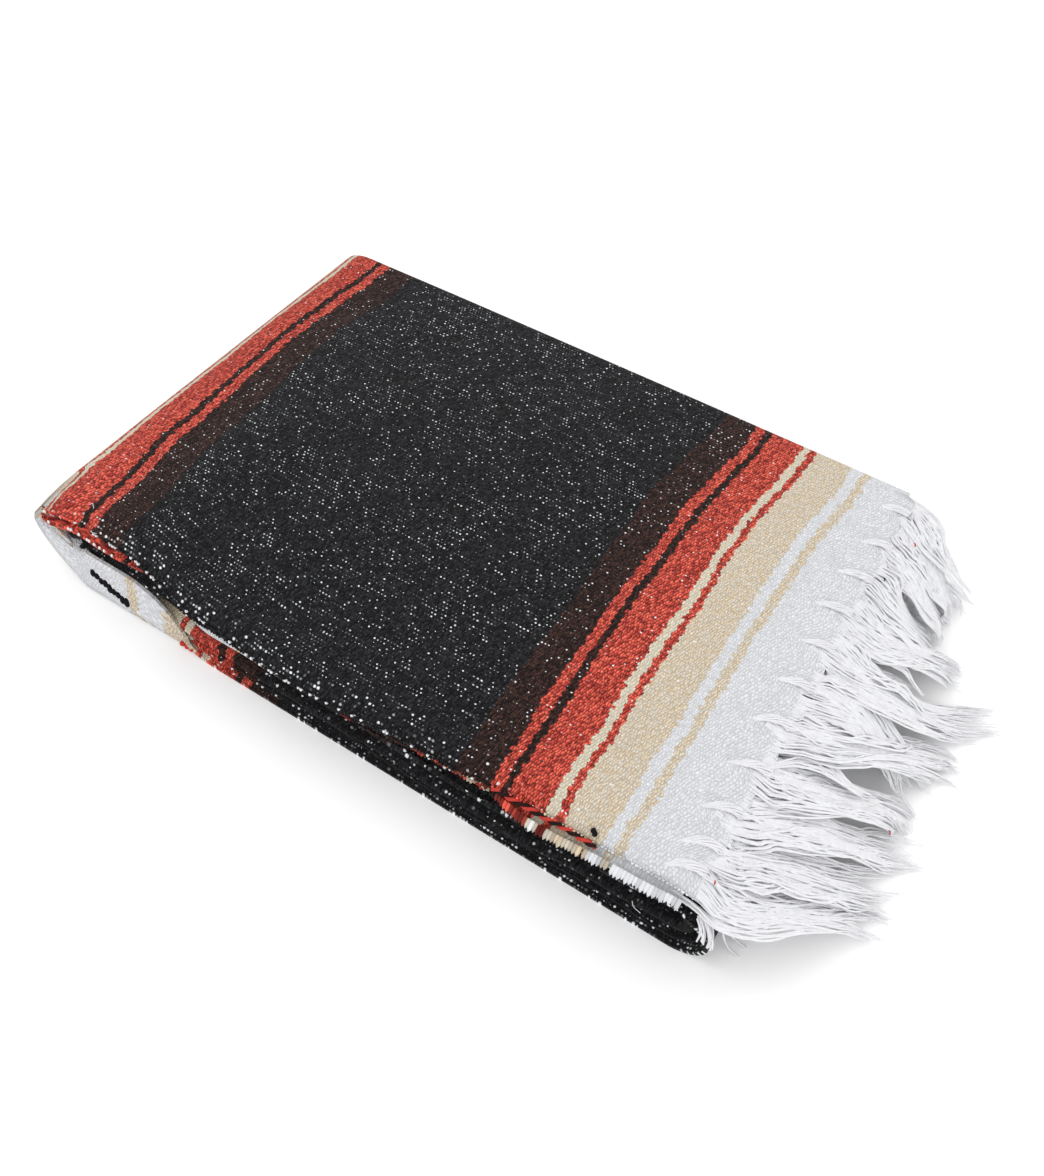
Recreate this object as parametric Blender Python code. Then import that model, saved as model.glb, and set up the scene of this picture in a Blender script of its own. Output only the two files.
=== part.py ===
"""Mexican falsa blanket, folded to sixteen plies, lying on a surface with its fringe over one end.

The cloth is folded in four across its width and in four along its length. Seen from the
side it is a stack of two nested loops: the top flap goes round the left fold into the
bottom flap, which comes up round the right fold into the third flap, and the fourth flap
lies between the third and the top one. Both woven ends lie at the right, and each has a
knotted fringe. Metres, +Z up, the origin at the bottom centre of the whole blanket.

Every cloth solid is made from one map: a column along the loop, a place y across it and a
depth counted in plies, 0 at the outer face and 8 at the middle of the stack.
"""

import math

import bmesh
import bpy

# Cloth
PLY = 0.0029  # one ply with the air under it
PLIES_PER_SIDE = 8  # plies from the outer face to the middle of the stack
WALL_PLIES = 0.78  # thickness of a modelled ply, the rest is the clearance under it
SECOND_PLY_TOP = 1.08  # upper face of the second ply, in plies
SEAM = 0.0004  # clearance between solids that lie end to end

# Places along the stack
TURN_X = 0.016  # centre of the left fold
NOSE_HEIGHT = 0.041  # height of the left fold's furthest point
WOVEN_END_X = 0.450  # woven end of the top flap
SHORT_END_X = 0.405  # woven end of the flap below it
FOLD_X = 0.453  # centre of the right fold
FOLD_RADII = (0.0200, 0.0186)  # outer radius of the right fold, at the front and at the back
END_DEPTH = 0.0225  # thickness of the top two flaps where the lower one ends
THICKENING_X = 0.33  # from here to the short end the lower flaps open towards their fold

# Places across the stack
FRONT_Y = -0.160
BACK_Y = 0.160
FLOOR_FRONT_Y = -0.1665  # selvage of the ply that lies on the floor
MIDDLE_FRONT_Y = -0.150  # front edge of the plies in the middle of the stack
ROLL_Y = 0.1525  # centre of the folds along the back
ROLL_DEPTH = 0.0062  # how far those folds stand out behind it
ROLL_INSET = 0.002  # the folds of the two middle flaps lie this much further in
SECOND_PLY_Y = -0.120  # how far in the second ply is modelled
BACK_HEIGHT = 0.0535
SHOULDER_DROP = 0.005  # how far the top selvage hangs below the face
SHOULDER_WIDTH = 0.016

# Front edge of the top face: x, height, y of the selvage
FRONT_EDGE = (
    (-0.020, 0.058, -0.150),
    (0.060, 0.059, -0.152),
    (0.120, 0.052, -0.161),
    (0.190, 0.049, -0.165),
    (0.300, 0.050, -0.160),
    (0.360, 0.057, -0.157),
    (0.460, 0.060, -0.156),
)
# Crown of the top face: x, height above its edges
CROWN = ((0.000, 0.001), (0.120, 0.009), (0.280, 0.009), (0.380, 0.005), (0.460, 0.003))
# Edge of each hidden ply: plies deep, inset behind the selvage, at a fold or a groove
FRONT_INSETS = (
    (1.0, 0.009),
    (1.5, 0.003),
    (2.0, 0.009),
    (3.0, 0.005),
    (4.0, 0.011),
    (5.0, 0.006),
    (6.0, 0.011),
    (6.5, 0.007),
    (7.0, 0.011),
    (7.5, 0.008),
    (8.0, 0.012),
)

# Fringe
FRINGE_GAP = 0.0004
STRIP_WIDTH = 0.006  # knotted strip along each woven end, from cloth to yarns
TASSEL_PITCH = 0.0305
FIRST_TASSEL_Y = -0.153
# Tassels of the upper fringe, front to back: x and y of the tip
TASSEL_TIPS = (
    (0.540, -0.108),
    (0.553, -0.084),
    (0.551, -0.056),
    (0.556, -0.030),
    (0.552, -0.003),
    (0.556, 0.024),
    (0.562, 0.051),
    (0.556, 0.078),
    (0.535, 0.108),
    (0.527, 0.150),
)
# Course of a lock of the upper fringe: share of its reach, share of its root's height
UPPER_COURSE = (
    (0.00, 1.000),
    (0.14, 0.990),
    (0.33, 0.870),
    (0.50, 0.560),
    (0.66, 0.250),
    (0.81, 0.075),
    (1.00, 0.050),
)
# Course of a lock of the lower fringe round the right fold: angle above level, clearance
FOLD_COURSE = ((90.0, 0.0024), (66.0, 0.0024), (40.0, 0.0024), (12.0, 0.0024), (-20.0, 0.0034))
# Its end on the floor: x beyond the fold, height
FLOOR_COURSE = ((0.0072, 0.0045), (0.0150, 0.0027))
# Rows of locks: share of the strip's height at the root, reach, half width, half thickness
TOP_ROW = (0.76, 1.0, 0.0028, 0.0018)
UNDER_ROW = (0.24, 0.72, 0.0026, 0.0015)
LOWER_ROW_SIZE = (0.0028, 0.0011)
LOCK_CELLS = ((0.06, 0.24), (0.30, 0.46), (0.54, 0.70), (0.76, 0.94))  # locks across a tassel
UNDER_CELLS = (1, 2)  # the cells that the lower locks also use
TIP_SHARE = 0.5  # size of a lock's tip against its root


def clear_scene():
    for obj in list(bpy.data.objects):
        bpy.data.objects.remove(obj, do_unlink=True)


def smooth(t):
    t = min(max(t, 0.0), 1.0)
    return t * t * (3.0 - 2.0 * t)


def lookup(table, x, column=1, ease=smooth):
    """Value of a table's column at x, eased between its rows."""
    if x <= table[0][0]:
        return table[0][column]
    for low, high in zip(table, table[1:]):
        if x <= high[0]:
            t = ease((x - low[0]) / (high[0] - low[0]))
            return low[column] + (high[column] - low[column]) * t
    return table[-1][column]


def top_selvage(x):
    return lookup(FRONT_EDGE, x, 2)


def top_height(x, y):
    """Height of the top face: higher in the middle, rounded down at its front selvage."""
    across = (min(y, ROLL_Y) - FRONT_Y) / (BACK_Y - FRONT_Y)
    edge = lookup(FRONT_EDGE, x) * (1.0 - smooth(across)) + BACK_HEIGHT * smooth(across)
    crown = lookup(CROWN, x) * max(0.0, 1.0 - (2.0 * across - 1.0) ** 2)
    from_edge = (y - top_selvage(x)) / SHOULDER_WIDTH
    shoulder = SHOULDER_DROP * max(0.0, 1.0 - max(0.0, from_edge)) ** 2
    return edge + crown - shoulder


def middle_height(x, y):
    """Height of the plane between the lower two flaps and the upper two."""
    top = top_height(x, y)
    opening = smooth((x - THICKENING_X) / (SHORT_END_X - THICKENING_X))
    return top / 2.0 + (top / 2.0 - END_DEPTH) * opening


def fold_radius(y):
    front, back = FOLD_RADII
    return front + (back - front) * smooth((y - FRONT_Y) / (BACK_Y - FRONT_Y))


def fold_top(x, y):
    """Height of the third flap's upper face beyond the short end."""
    t = smooth((x - SHORT_END_X) / (FOLD_X - SHORT_END_X))
    start = middle_height(SHORT_END_X, y)
    return start + (2.0 * fold_radius(y) - start) * t


def left_nose(y):
    """x of the left fold's furthest point, a little skewed along the fold."""
    return -0.0160 + 0.060 * max(y, -0.120)


def left_turn(angle, y):
    """Point on the left fold, from 0 on the top face to pi on the floor."""
    reach = TURN_X - left_nose(y)
    upper = angle <= math.pi / 2.0
    power = 0.95 if upper else 1.30
    side = abs(math.sin(angle)) ** power
    rise = abs(math.cos(angle)) ** power
    height = top_height(TURN_X, y) - NOSE_HEIGHT if upper else -NOSE_HEIGHT
    return TURN_X - reach * side, NOSE_HEIGHT + height * rise


def column_ends(column, y):
    """Outer point of a column and the point that its depth is measured towards, both (x, z)."""
    kind, place = column
    if kind == "top":
        return (place, top_height(place, y)), (place, middle_height(place, y))
    if kind == "left":
        return left_turn(place, y), (TURN_X, middle_height(TURN_X, y))
    if kind == "floor":
        reach = middle_height(place, y) if place <= SHORT_END_X else fold_top(place, y)
        return (place, 0.0), (place, reach)
    radius = fold_radius(y)
    if kind == "right":
        outer = (FOLD_X + radius * math.cos(place), radius + radius * math.sin(place))
        return outer, (FOLD_X, radius)
    height = fold_top(place, y)
    return (place, height), (place, height - radius)


def depth_of(plies, whole):
    """Distance under the outer face: outer plies at full size, the inner ones share the rest."""
    rows = ((0.0, 0.0), (1.0, PLY), (2.0, 2 * PLY), (7.0, whole - PLY), (8.0, whole))
    return lookup(rows, plies, ease=float)


def cloth_point(column, y, plies):
    level_y = min(y, ROLL_Y)
    outer, inner = column_ends(column, level_y)
    span_x, span_z = inner[0] - outer[0], inner[1] - outer[1]
    whole = math.hypot(span_x, span_z)
    share = depth_of(plies, whole) / whole
    return outer[0] + span_x * share, y, outer[1] + span_z * share


def steps(first, last, count):
    return [first + (last - first) * i / count for i in range(count + 1)]


RUN_X = steps(TURN_X, SHORT_END_X, 13)
TOP_TAIL_X = steps(SHORT_END_X, WOVEN_END_X, 2)[1:]
FLOOR_TAIL_X = steps(SHORT_END_X, FOLD_X, 3)[1:]
LEFT_ANGLES = [math.pi * i / 9.0 for i in range(1, 9)]
RIGHT_ANGLES = [math.radians(a) for a in (-67.5, -45, -22.5, 0, 22.5, 45, 67.5, 90)]


def loop_columns():
    """Columns from the woven end over the top, round the left fold and along the floor."""
    over = [("top", x) for x in reversed(RUN_X + TOP_TAIL_X)]
    round_left = [("left", angle) for angle in LEFT_ANGLES]
    under = [("floor", x) for x in RUN_X + FLOOR_TAIL_X]
    return over, round_left, under


def selvage_y(column):
    """y of the outer ply's front edge in a column."""
    kind, place = column
    if kind == "top":
        return top_selvage(place)
    if kind == "left":
        t = place / math.pi
        return top_selvage(TURN_X) * (1.0 - t) + FLOOR_FRONT_Y * t
    if kind == "floor":
        return FLOOR_FRONT_Y
    if kind == "right":
        t = 0.5 + place / math.pi
        return FLOOR_FRONT_Y + 0.004 * t
    return FLOOR_FRONT_Y + 0.006


def solid_from_cells(name, points, filled):
    """Closed mesh round the filled cells of a block of points[i][j][k]."""
    ids = {}
    corners = []

    def corner(i, j, k):
        point = points[i][j][k]
        key = tuple(round(value * 1e6) for value in point)
        if key not in ids:
            ids[key] = len(corners)
            corners.append(point)
        return ids[key]

    sides = (
        ((0, 0, 0), (0, 1, 0), (0, 1, 1), (0, 0, 1)),
        ((1, 0, 0), (1, 1, 0), (1, 1, 1), (1, 0, 1)),
        ((0, 0, 0), (1, 0, 0), (1, 0, 1), (0, 0, 1)),
        ((0, 1, 0), (1, 1, 0), (1, 1, 1), (0, 1, 1)),
        ((0, 0, 0), (1, 0, 0), (1, 1, 0), (0, 1, 0)),
        ((0, 0, 1), (1, 0, 1), (1, 1, 1), (0, 1, 1)),
    )
    faces = {}
    for i in range(len(points) - 1):
        for j in range(len(points[0]) - 1):
            for k in range(len(points[0][0]) - 1):
                if not filled(i, j, k):
                    continue
                for side in sides:
                    loop = [corner(i + a, j + b, k + c) for a, b, c in side]
                    loop = list(dict.fromkeys(loop))
                    if len(loop) < 3:
                        continue
                    key = frozenset(loop)
                    if key in faces:
                        del faces[key]
                    else:
                        faces[key] = loop
    return mesh_object(name, corners, list(faces.values()))


def mesh_object(name, corners, faces):
    mesh = bpy.data.meshes.new(name)
    mesh.from_pydata(corners, [], faces)
    grown = bmesh.new()
    grown.from_mesh(mesh)
    loose = [vert for vert in grown.verts if not vert.link_faces]
    bmesh.ops.delete(grown, geom=loose, context="VERTS")
    bmesh.ops.recalc_face_normals(grown, faces=grown.faces)
    grown.to_mesh(mesh)
    grown.free()
    obj = bpy.data.objects.new(name, mesh)
    bpy.context.collection.objects.link(obj)
    mesh.shade_smooth()
    mesh.set_sharp_from_angle(angle=math.radians(40))
    return obj


def paint(obj, name, color, roughness):
    material = bpy.data.materials.new(name)
    material.use_nodes = True
    shader = material.node_tree.nodes["Principled BSDF"]
    shader.inputs["Base Color"].default_value = (*color, 1.0)
    shader.inputs["Roughness"].default_value = roughness
    shader.inputs["Metallic"].default_value = 0.0
    obj.data.materials.append(material)


INNER_Y = (-0.132, SECOND_PLY_Y, -0.080, -0.040, 0.0, 0.040, 0.080, 0.115, 0.138)
HOOK_ANGLES = [math.radians(a) for a in (0, 35, 70, 105, 140, 180)]
FLAT_HOOK_ANGLES = [math.radians(a) for a in (0, 4, 8, 12, 16, 20)]


def wall_section(column):
    """Places across the outer ply, each the outer and the inner (y, plies deep).

    At the back the ply goes round the fold, which is four plies thick.
    """
    front = selvage_y(column)
    across = [front, front + 0.005, front + 0.011, *INNER_Y]
    section = [((y, 0.0), (y, WALL_PLIES)) for y in across]
    tail = column[0] in ("right", "return") or column == ("floor", FOLD_X)
    inner_turn = 2.0 - WALL_PLIES
    for angle in FLAT_HOOK_ANGLES if tail else HOOK_ANGLES:
        out, up = math.sin(angle), math.cos(angle)
        outer = (ROLL_Y + ROLL_DEPTH * out, 2.0 - 2.0 * up)
        inner = (ROLL_Y + ROLL_DEPTH * out * inner_turn / 2.0, 2.0 - inner_turn * up)
        section.append((outer, inner))
    return section


def make_outer_ply():
    """One ply from the fringe over the top, round the left fold, underneath and up at the right."""
    over, round_left, under = loop_columns()
    up = [("right", angle) for angle in RIGHT_ANGLES]
    back = [("return", x) for x in reversed([SHORT_END_X + SEAM, *FLOOR_TAIL_X[:-1]])]
    points = [
        [[cloth_point(column, y, plies) for y, plies in pair] for pair in wall_section(column)]
        for column in over + round_left + under + up + back
    ]
    obj = solid_from_cells("outer_ply", points, lambda i, j, k: True)
    paint(obj, "charcoal wool", (0.018, 0.018, 0.020), 0.95)


def make_second_ply():
    """The other selvage, one ply further in, as far in as it shows along the front."""
    over, round_left, under = loop_columns()
    points = []
    under = [*under[: len(RUN_X) - 1], ("floor", SHORT_END_X - SEAM)]
    for column in over + round_left + under:
        front = selvage_y(column) + 0.003
        across = (front, front + 0.005, INNER_Y[0], SECOND_PLY_Y - SEAM)
        faces = (SECOND_PLY_TOP, 1.0 + WALL_PLIES)
        points.append([[cloth_point(column, y, plies) for plies in faces] for y in across])
    obj = solid_from_cells("second_ply", points, lambda i, j, k: True)
    paint(obj, "dark brown wool", (0.040, 0.022, 0.018), 0.95)


CORE_LEVELS = [row[0] for row in FRONT_INSETS]


def hidden_front(column, plies):
    if plies == PLIES_PER_SIDE:
        return MIDDLE_FRONT_Y
    return selvage_y(column) + lookup(FRONT_INSETS, plies)


def hidden_back(column, plies):
    """Back edge of the hidden plies: inside the outer ply's fold, then a fold of their own."""
    under_fringe = column[0] == "floor" and column[1] >= SHORT_END_X
    if under_fringe and (column[1] == FOLD_X or not 4.0 < plies < 6.5):
        return ROLL_Y - ROLL_INSET
    if plies <= 4.0:
        turned = abs(plies - 2.0) < 1.0
        rounding = math.sqrt(1.0 - (plies - 2.0) ** 2) if turned else -0.5
        return ROLL_Y + (ROLL_DEPTH / 2.0 - 0.0006) * rounding
    rounding = math.sqrt(max(0.0, 1.0 - ((plies - 6.0) / 2.0) ** 2))
    return ROLL_Y - ROLL_INSET + ROLL_DEPTH * rounding


def fold_filling_x(plies, y):
    """How far the hidden plies reach into the right fold at a depth."""
    outer = fold_radius(y)
    radius = outer - PLY - SEAM
    height = depth_of(plies, 2.0 * outer) - outer
    return FOLD_X + math.sqrt(max(0.0, radius**2 - height**2))


def make_hidden_plies():
    """All other layers in one solid, its front edges stepped and its back edges rolled."""
    over, round_left, under = loop_columns()
    columns = over + round_left + under
    last_over = len(TOP_TAIL_X)
    first_under = len(columns) - 1 - len(FLOOR_TAIL_X)
    points = []
    for column in columns:
        rows = [[] for _ in range(len(INNER_Y) + 2)]
        for plies in CORE_LEVELS:
            across = (hidden_front(column, plies), *INNER_Y, hidden_back(column, plies))
            for row, y in zip(rows, across):
                x, y, z = cloth_point(column, y, plies)
                if column == ("floor", FOLD_X):
                    x = fold_filling_x(plies, min(y, ROLL_Y))
                row.append((x, y, z))
        points.append(rows)

    def filled(i, j, k):
        top = CORE_LEVELS[k + 1]
        if i < last_over and top > 4.0:
            return False
        if i >= first_under and top > 7.0:
            return False
        in_second_ply = j < 2 and top <= 2.0 and i < first_under
        return not in_second_ply

    obj = solid_from_cells("hidden_plies", points, filled)
    paint(obj, "charcoal wool in the folds", (0.014, 0.014, 0.016), 0.95)


def lock_spans(tassel):
    """The y range of each lock at the root of one tassel."""
    start = FIRST_TASSEL_Y + tassel * TASSEL_PITCH
    return [(start + a * TASSEL_PITCH, start + b * TASSEL_PITCH) for a, b in LOCK_CELLS]


def strip_and_locks(name, x, height_at, rows, courses, color):
    """A strip along a woven end, with a lock of yarn drawn out of each chosen cell of its face.

    height_at(y) gives the strip's bottom and top, rows the height shares of its cells, and
    courses the ring of each lock by (tassel, lock, row).
    """
    ys = [FIRST_TASSEL_Y]
    for tassel in range(len(TASSEL_TIPS)):
        ys += [y for span in lock_spans(tassel) for y in span]
    ys.append(FIRST_TASSEL_Y + len(TASSEL_TIPS) * TASSEL_PITCH)
    corners = []
    rings = []
    for y in ys:
        bottom, top = height_at(y)
        face = [(x + STRIP_WIDTH, y, bottom + (top - bottom) * share) for share in rows]
        ring = [(x, y, top), (x, y, bottom), *face]
        rings.append(list(range(len(corners), len(corners) + len(ring))))
        corners += ring
    faces = [rings[0], list(reversed(rings[-1]))]
    face_rows = range(2, len(rows) + 1)
    for column, (low, high) in enumerate(zip(rings, rings[1:])):
        for row in range(len(low)):
            following = (row + 1) % len(low)
            quad = [low[row], high[row], high[following], low[following]]
            tassel, place = divmod(column, 2 * len(LOCK_CELLS))
            key = (tassel, place // 2, (row - 2) // 2)
            drawn = place % 2 == 1 and row in face_rows and row % 2 == 1 and key in courses
            if not drawn:
                faces.append(quad)
                continue
            for ring_points in courses[key]:
                ring = list(range(len(corners), len(corners) + 4))
                corners += ring_points
                for a in range(4):
                    b = (a + 1) % 4
                    faces.append([quad[a], quad[b], ring[b], ring[a]])
                quad = ring
            faces.append(quad)
    obj = mesh_object(name, corners, faces)
    paint(obj, "white cotton " + name, color, 0.9)


def lock_rings(course, half_width, half_thick):
    """Four-sided rings along a lock's course, thinner towards its tip."""
    rings = []
    last = len(course) - 1
    for i in range(1, last + 1):
        before, here = course[i - 1], course[i]
        after = course[min(i + 1, last)]
        run, fall = after[0] - before[0], after[2] - before[2]
        length = math.hypot(run, fall)
        size = 1.0 - (1.0 - TIP_SHARE) * i / last
        wide = half_width * size
        up_x, up_z = -fall / length * half_thick * size, run / length * half_thick * size
        ring = [(-1, -1), (1, -1), (1, 1), (-1, 1)]
        rings.append([(here[0] + v * up_x, here[1] + u * wide, here[2] + v * up_z) for u, v in ring])
    return rings


def upper_course(tassel, lock, row, root_x, height_at):
    """Centre line of a lock of the upper fringe, from its root to its tip."""
    share, reach, _, _ = row
    low, high = lock_spans(tassel)[lock]
    root_y = (low + high) / 2.0
    bottom, top = height_at(root_y)
    root_z = bottom + (top - bottom) * share
    tip_x, tip_y = TASSEL_TIPS[tassel]
    centre_y = FIRST_TASSEL_Y + (tassel + 0.5) * TASSEL_PITCH
    fan = 1.0 + 0.08 * math.sin(2.3 * tassel)
    uneven = 0.006 * math.sin(4.1 * tassel + 2.2 * lock)
    line = []
    for out, height in UPPER_COURSE:
        x = root_x + (tip_x + uneven - root_x) * reach * out
        gathered = 1.0 - 0.1 * math.sin(math.pi * out)
        spread = (root_y - centre_y) * gathered * (1.0 + (fan - 1.0) * out)
        y = centre_y + spread + (tip_y - centre_y) * reach * out**1.5
        line.append((x, y, max(root_z * height, 0.0025)))
    return line


def make_upper_fringe():
    """Knotted strip and locks at the woven end of the top flap, in two rows."""
    x = WOVEN_END_X + FRINGE_GAP

    def height_at(y):
        outer, inner = column_ends(("top", WOVEN_END_X), y)
        flap = depth_of(4.0, outer[1] - inner[1])
        return outer[1] - flap + 0.0004, outer[1] - 0.0003

    root_x = x + STRIP_WIDTH
    courses = {}
    for tassel in range(len(TASSEL_TIPS)):
        for lock in range(len(LOCK_CELLS)):
            line = upper_course(tassel, lock, TOP_ROW, root_x, height_at)
            courses[tassel, lock, 1] = lock_rings(line, *TOP_ROW[2:])
            if lock in UNDER_CELLS:
                line = upper_course(tassel, lock, UNDER_ROW, root_x, height_at)
                courses[tassel, lock, 0] = lock_rings(line, *UNDER_ROW[2:])
    rows = (0.0, 0.12, 0.36, 0.62, 0.90, 1.0)
    strip_and_locks("upper_fringe", x, height_at, rows, courses, (0.78, 0.79, 0.81))


def round_fold(y):
    """Course (x, z) close round the outside of the right fold and out along the floor."""
    radius = fold_radius(y)
    approach = (SHORT_END_X + FOLD_X) / 2.0
    course = [(approach, fold_top(approach, y) + FOLD_COURSE[0][1])]
    for angle, clearance in FOLD_COURSE:
        turn = math.radians(angle)
        reach = radius + clearance
        course.append((FOLD_X + reach * math.cos(turn), radius + reach * math.sin(turn)))
    for beyond, height in FLOOR_COURSE:
        course.append((FOLD_X + radius + beyond, height))
    return course


def make_lower_fringe():
    """Knotted strip and locks at the other woven end, which go over the right fold."""
    x = SHORT_END_X + FRINGE_GAP

    def height_at(y):
        outer, inner = column_ends(("top", SHORT_END_X), y)
        flap = depth_of(4.0, outer[1] - inner[1])
        return fold_top(x + STRIP_WIDTH, y) + 0.0012, outer[1] - flap - 0.0006

    courses = {}
    for tassel in range(len(TASSEL_TIPS)):
        for lock in UNDER_CELLS:
            low, high = lock_spans(tassel)[lock]
            middle = (low + high) / 2.0
            bottom, top = height_at(middle)
            line = [(x + STRIP_WIDTH, middle, (bottom + top) / 2.0)]
            lean = (TASSEL_TIPS[tassel][1] - middle) * 0.15
            course = round_fold(middle)
            for step, (out_x, out_z) in enumerate(course, start=1):
                line.append((out_x, middle + lean * step / len(course), out_z))
            courses[tassel, lock, 0] = lock_rings(line, *LOWER_ROW_SIZE)
    strip_and_locks("lower_fringe", x, height_at, (0.0, 0.30, 0.70, 1.0), courses, (0.74, 0.75, 0.77))


def stand_on_origin():
    """Move every mesh so that the blanket's box stands on the origin with its bottom centre."""
    meshes = [obj.data for obj in bpy.data.objects if obj.type == "MESH"]
    points = [vert.co for mesh in meshes for vert in mesh.vertices]
    low = [min(point[axis] for point in points) for axis in range(3)]
    high = [max(point[axis] for point in points) for axis in range(3)]
    for mesh in meshes:
        for vert in mesh.vertices:
            vert.co.x -= (low[0] + high[0]) / 2.0
            vert.co.y -= (low[1] + high[1]) / 2.0
            vert.co.z -= low[2]


clear_scene()
make_outer_ply()
make_second_ply()
make_hidden_plies()
make_upper_fringe()
make_lower_fringe()
stand_on_origin()
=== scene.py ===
# %% [markdown]
# A folded falsa blanket.
# The real blanket is one woven cloth, 1.28 m by about 1.83 m, with its warp ends knotted
# into a fringe. Here it lies folded in four both ways, sixteen plies high. The plain solids
# of the frame give its size and its place. The cells below lay a thin sheet for every ply
# that shows, give it the weave and the stripes, and knot the fringe yarn by yarn.

# %% Load the frame
import math
import random

import bpy
import numpy as np
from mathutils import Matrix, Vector


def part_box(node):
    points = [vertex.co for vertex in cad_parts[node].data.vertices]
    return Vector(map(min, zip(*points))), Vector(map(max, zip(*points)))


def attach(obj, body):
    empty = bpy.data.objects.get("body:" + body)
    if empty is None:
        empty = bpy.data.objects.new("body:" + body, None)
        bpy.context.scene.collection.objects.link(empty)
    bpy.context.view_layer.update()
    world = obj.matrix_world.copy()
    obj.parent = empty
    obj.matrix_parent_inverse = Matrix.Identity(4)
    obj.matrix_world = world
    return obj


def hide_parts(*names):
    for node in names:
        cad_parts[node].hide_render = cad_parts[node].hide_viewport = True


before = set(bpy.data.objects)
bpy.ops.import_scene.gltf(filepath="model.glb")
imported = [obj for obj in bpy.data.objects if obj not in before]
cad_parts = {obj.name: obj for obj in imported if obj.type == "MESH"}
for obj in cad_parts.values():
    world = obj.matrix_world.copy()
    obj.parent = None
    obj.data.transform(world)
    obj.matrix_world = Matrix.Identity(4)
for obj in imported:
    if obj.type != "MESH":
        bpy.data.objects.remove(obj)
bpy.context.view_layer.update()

bpy.ops.object.select_all(action="DESELECT")
print("solids:", sorted(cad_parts))

# %% [markdown]
# The fold.
# Seen from the front the cloth is a spiral. It starts at the fringe on top, goes round the
# left fold, lies on the floor, comes up round the right fold, goes back to the left inside,
# turns once more and ends under the top flap. A place in the blanket is a stretch of that
# spiral, a place along it, a place y across it and a depth counted in plies. Working it
# out from few sizes is better than pushing points by hand, because every ply then fits its
# neighbours.

# %% Sizes of the fold
PLY = 0.0029
WALL = 0.0023
PLIES_PER_SIDE = 8
TURN_X = 0.016
NOSE_HEIGHT = 0.041
WOVEN_END_X = 0.450
SHORT_END_X = 0.405
FOLD_X = 0.453
FOLD_RADII = (0.0200, 0.0186)
END_DEPTH = 0.0225
THICKENING_X = 0.33
FRONT_Y = -0.160
BACK_Y = 0.160
FLOOR_FRONT_Y = -0.1665
ROLL_Y = 0.1525
ROLL_DEPTH = 0.0062
ROLL_INSET = 0.002
BACK_HEIGHT = 0.0535
SHOULDER_DROP = 0.005
SHOULDER_WIDTH = 0.016
LEFT_NOSE = -0.0232

# Front edge of the top face: x, height, y of the selvage
FRONT_EDGE = (
    (-0.020, 0.058, -0.150),
    (0.060, 0.059, -0.152),
    (0.120, 0.052, -0.161),
    (0.190, 0.049, -0.165),
    (0.300, 0.050, -0.160),
    (0.360, 0.057, -0.157),
    (0.460, 0.060, -0.156),
)
# Crown of the top face: x, height above its edges
CROWN = ((0.000, 0.001), (0.120, 0.009), (0.280, 0.009), (0.380, 0.005), (0.460, 0.003))

outer_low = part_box("outer_ply")[0]
shift = Vector((LEFT_NOSE, FLOOR_FRONT_Y, 0.0)) - outer_low
print("the spiral's own zero lies at", [round(-value, 4) for value in shift])


# %% Form of the top face and of the two outer folds
def smooth(t):
    t = min(max(t, 0.0), 1.0)
    return t * t * (3.0 - 2.0 * t)


def lookup(table, x, column=1, ease=smooth):
    """Value of a table's column at x, eased between its rows."""
    if x <= table[0][0]:
        return table[0][column]
    for low, high in zip(table, table[1:]):
        if x <= high[0]:
            t = ease((x - low[0]) / (high[0] - low[0]))
            return low[column] + (high[column] - low[column]) * t
    return table[-1][column]


def top_selvage(x):
    return lookup(FRONT_EDGE, x, 2)


def top_height(x, y):
    """Height of the top face: higher in the middle, rounded down at its front selvage."""
    across = (min(y, ROLL_Y) - FRONT_Y) / (BACK_Y - FRONT_Y)
    edge = lookup(FRONT_EDGE, x) * (1.0 - smooth(across)) + BACK_HEIGHT * smooth(across)
    crown = lookup(CROWN, x) * max(0.0, 1.0 - (2.0 * across - 1.0) ** 2)
    from_edge = (y - top_selvage(x)) / SHOULDER_WIDTH
    shoulder = SHOULDER_DROP * max(0.0, 1.0 - max(0.0, from_edge)) ** 2
    return edge + crown - shoulder


def middle_height(x, y):
    """Height of the plane between the lower two flaps and the upper two."""
    top = top_height(x, y)
    opening = smooth((x - THICKENING_X) / (SHORT_END_X - THICKENING_X))
    return top / 2.0 + (top / 2.0 - END_DEPTH) * opening


def fold_radius(y):
    front, back = FOLD_RADII
    return front + (back - front) * smooth((y - FRONT_Y) / (BACK_Y - FRONT_Y))


def fold_top(x, y):
    """Height of the third flap's upper face beyond the short end."""
    t = smooth((x - SHORT_END_X) / (FOLD_X - SHORT_END_X))
    start = middle_height(SHORT_END_X, y)
    return start + (2.0 * fold_radius(y) - start) * t


def left_turn(angle, y):
    """Point (x, z) on the left fold, from 0 on the top face to pi on the floor."""
    nose = -0.0160 + 0.060 * max(y, -0.120)
    upper = angle <= math.pi / 2.0
    power = 0.95 if upper else 1.30
    side = abs(math.sin(angle)) ** power
    rise = abs(math.cos(angle)) ** power
    height = top_height(TURN_X, y) - NOSE_HEIGHT if upper else -NOSE_HEIGHT
    return TURN_X - (TURN_X - nose) * side, NOSE_HEIGHT + height * rise


def depth_of(plies, whole):
    """Distance under the outer face: outer plies at full size, the inner ones share the rest."""
    rows = ((0.0, 0.0), (1.0, PLY), (2.0, 2 * PLY), (7.0, whole - PLY), (8.0, whole))
    return lookup(rows, plies, ease=float)


print("height of the top face at its middle, mm:", round(top_height(0.2, 0.0) * 1000, 1))


# %% One map for every ply
def between(outer, inner, plies):
    span_x, span_z = inner[0] - outer[0], inner[1] - outer[1]
    whole = math.hypot(span_x, span_z)
    share = depth_of(plies, whole) / whole
    return outer[0] + span_x * share, outer[1] + span_z * share


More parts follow.
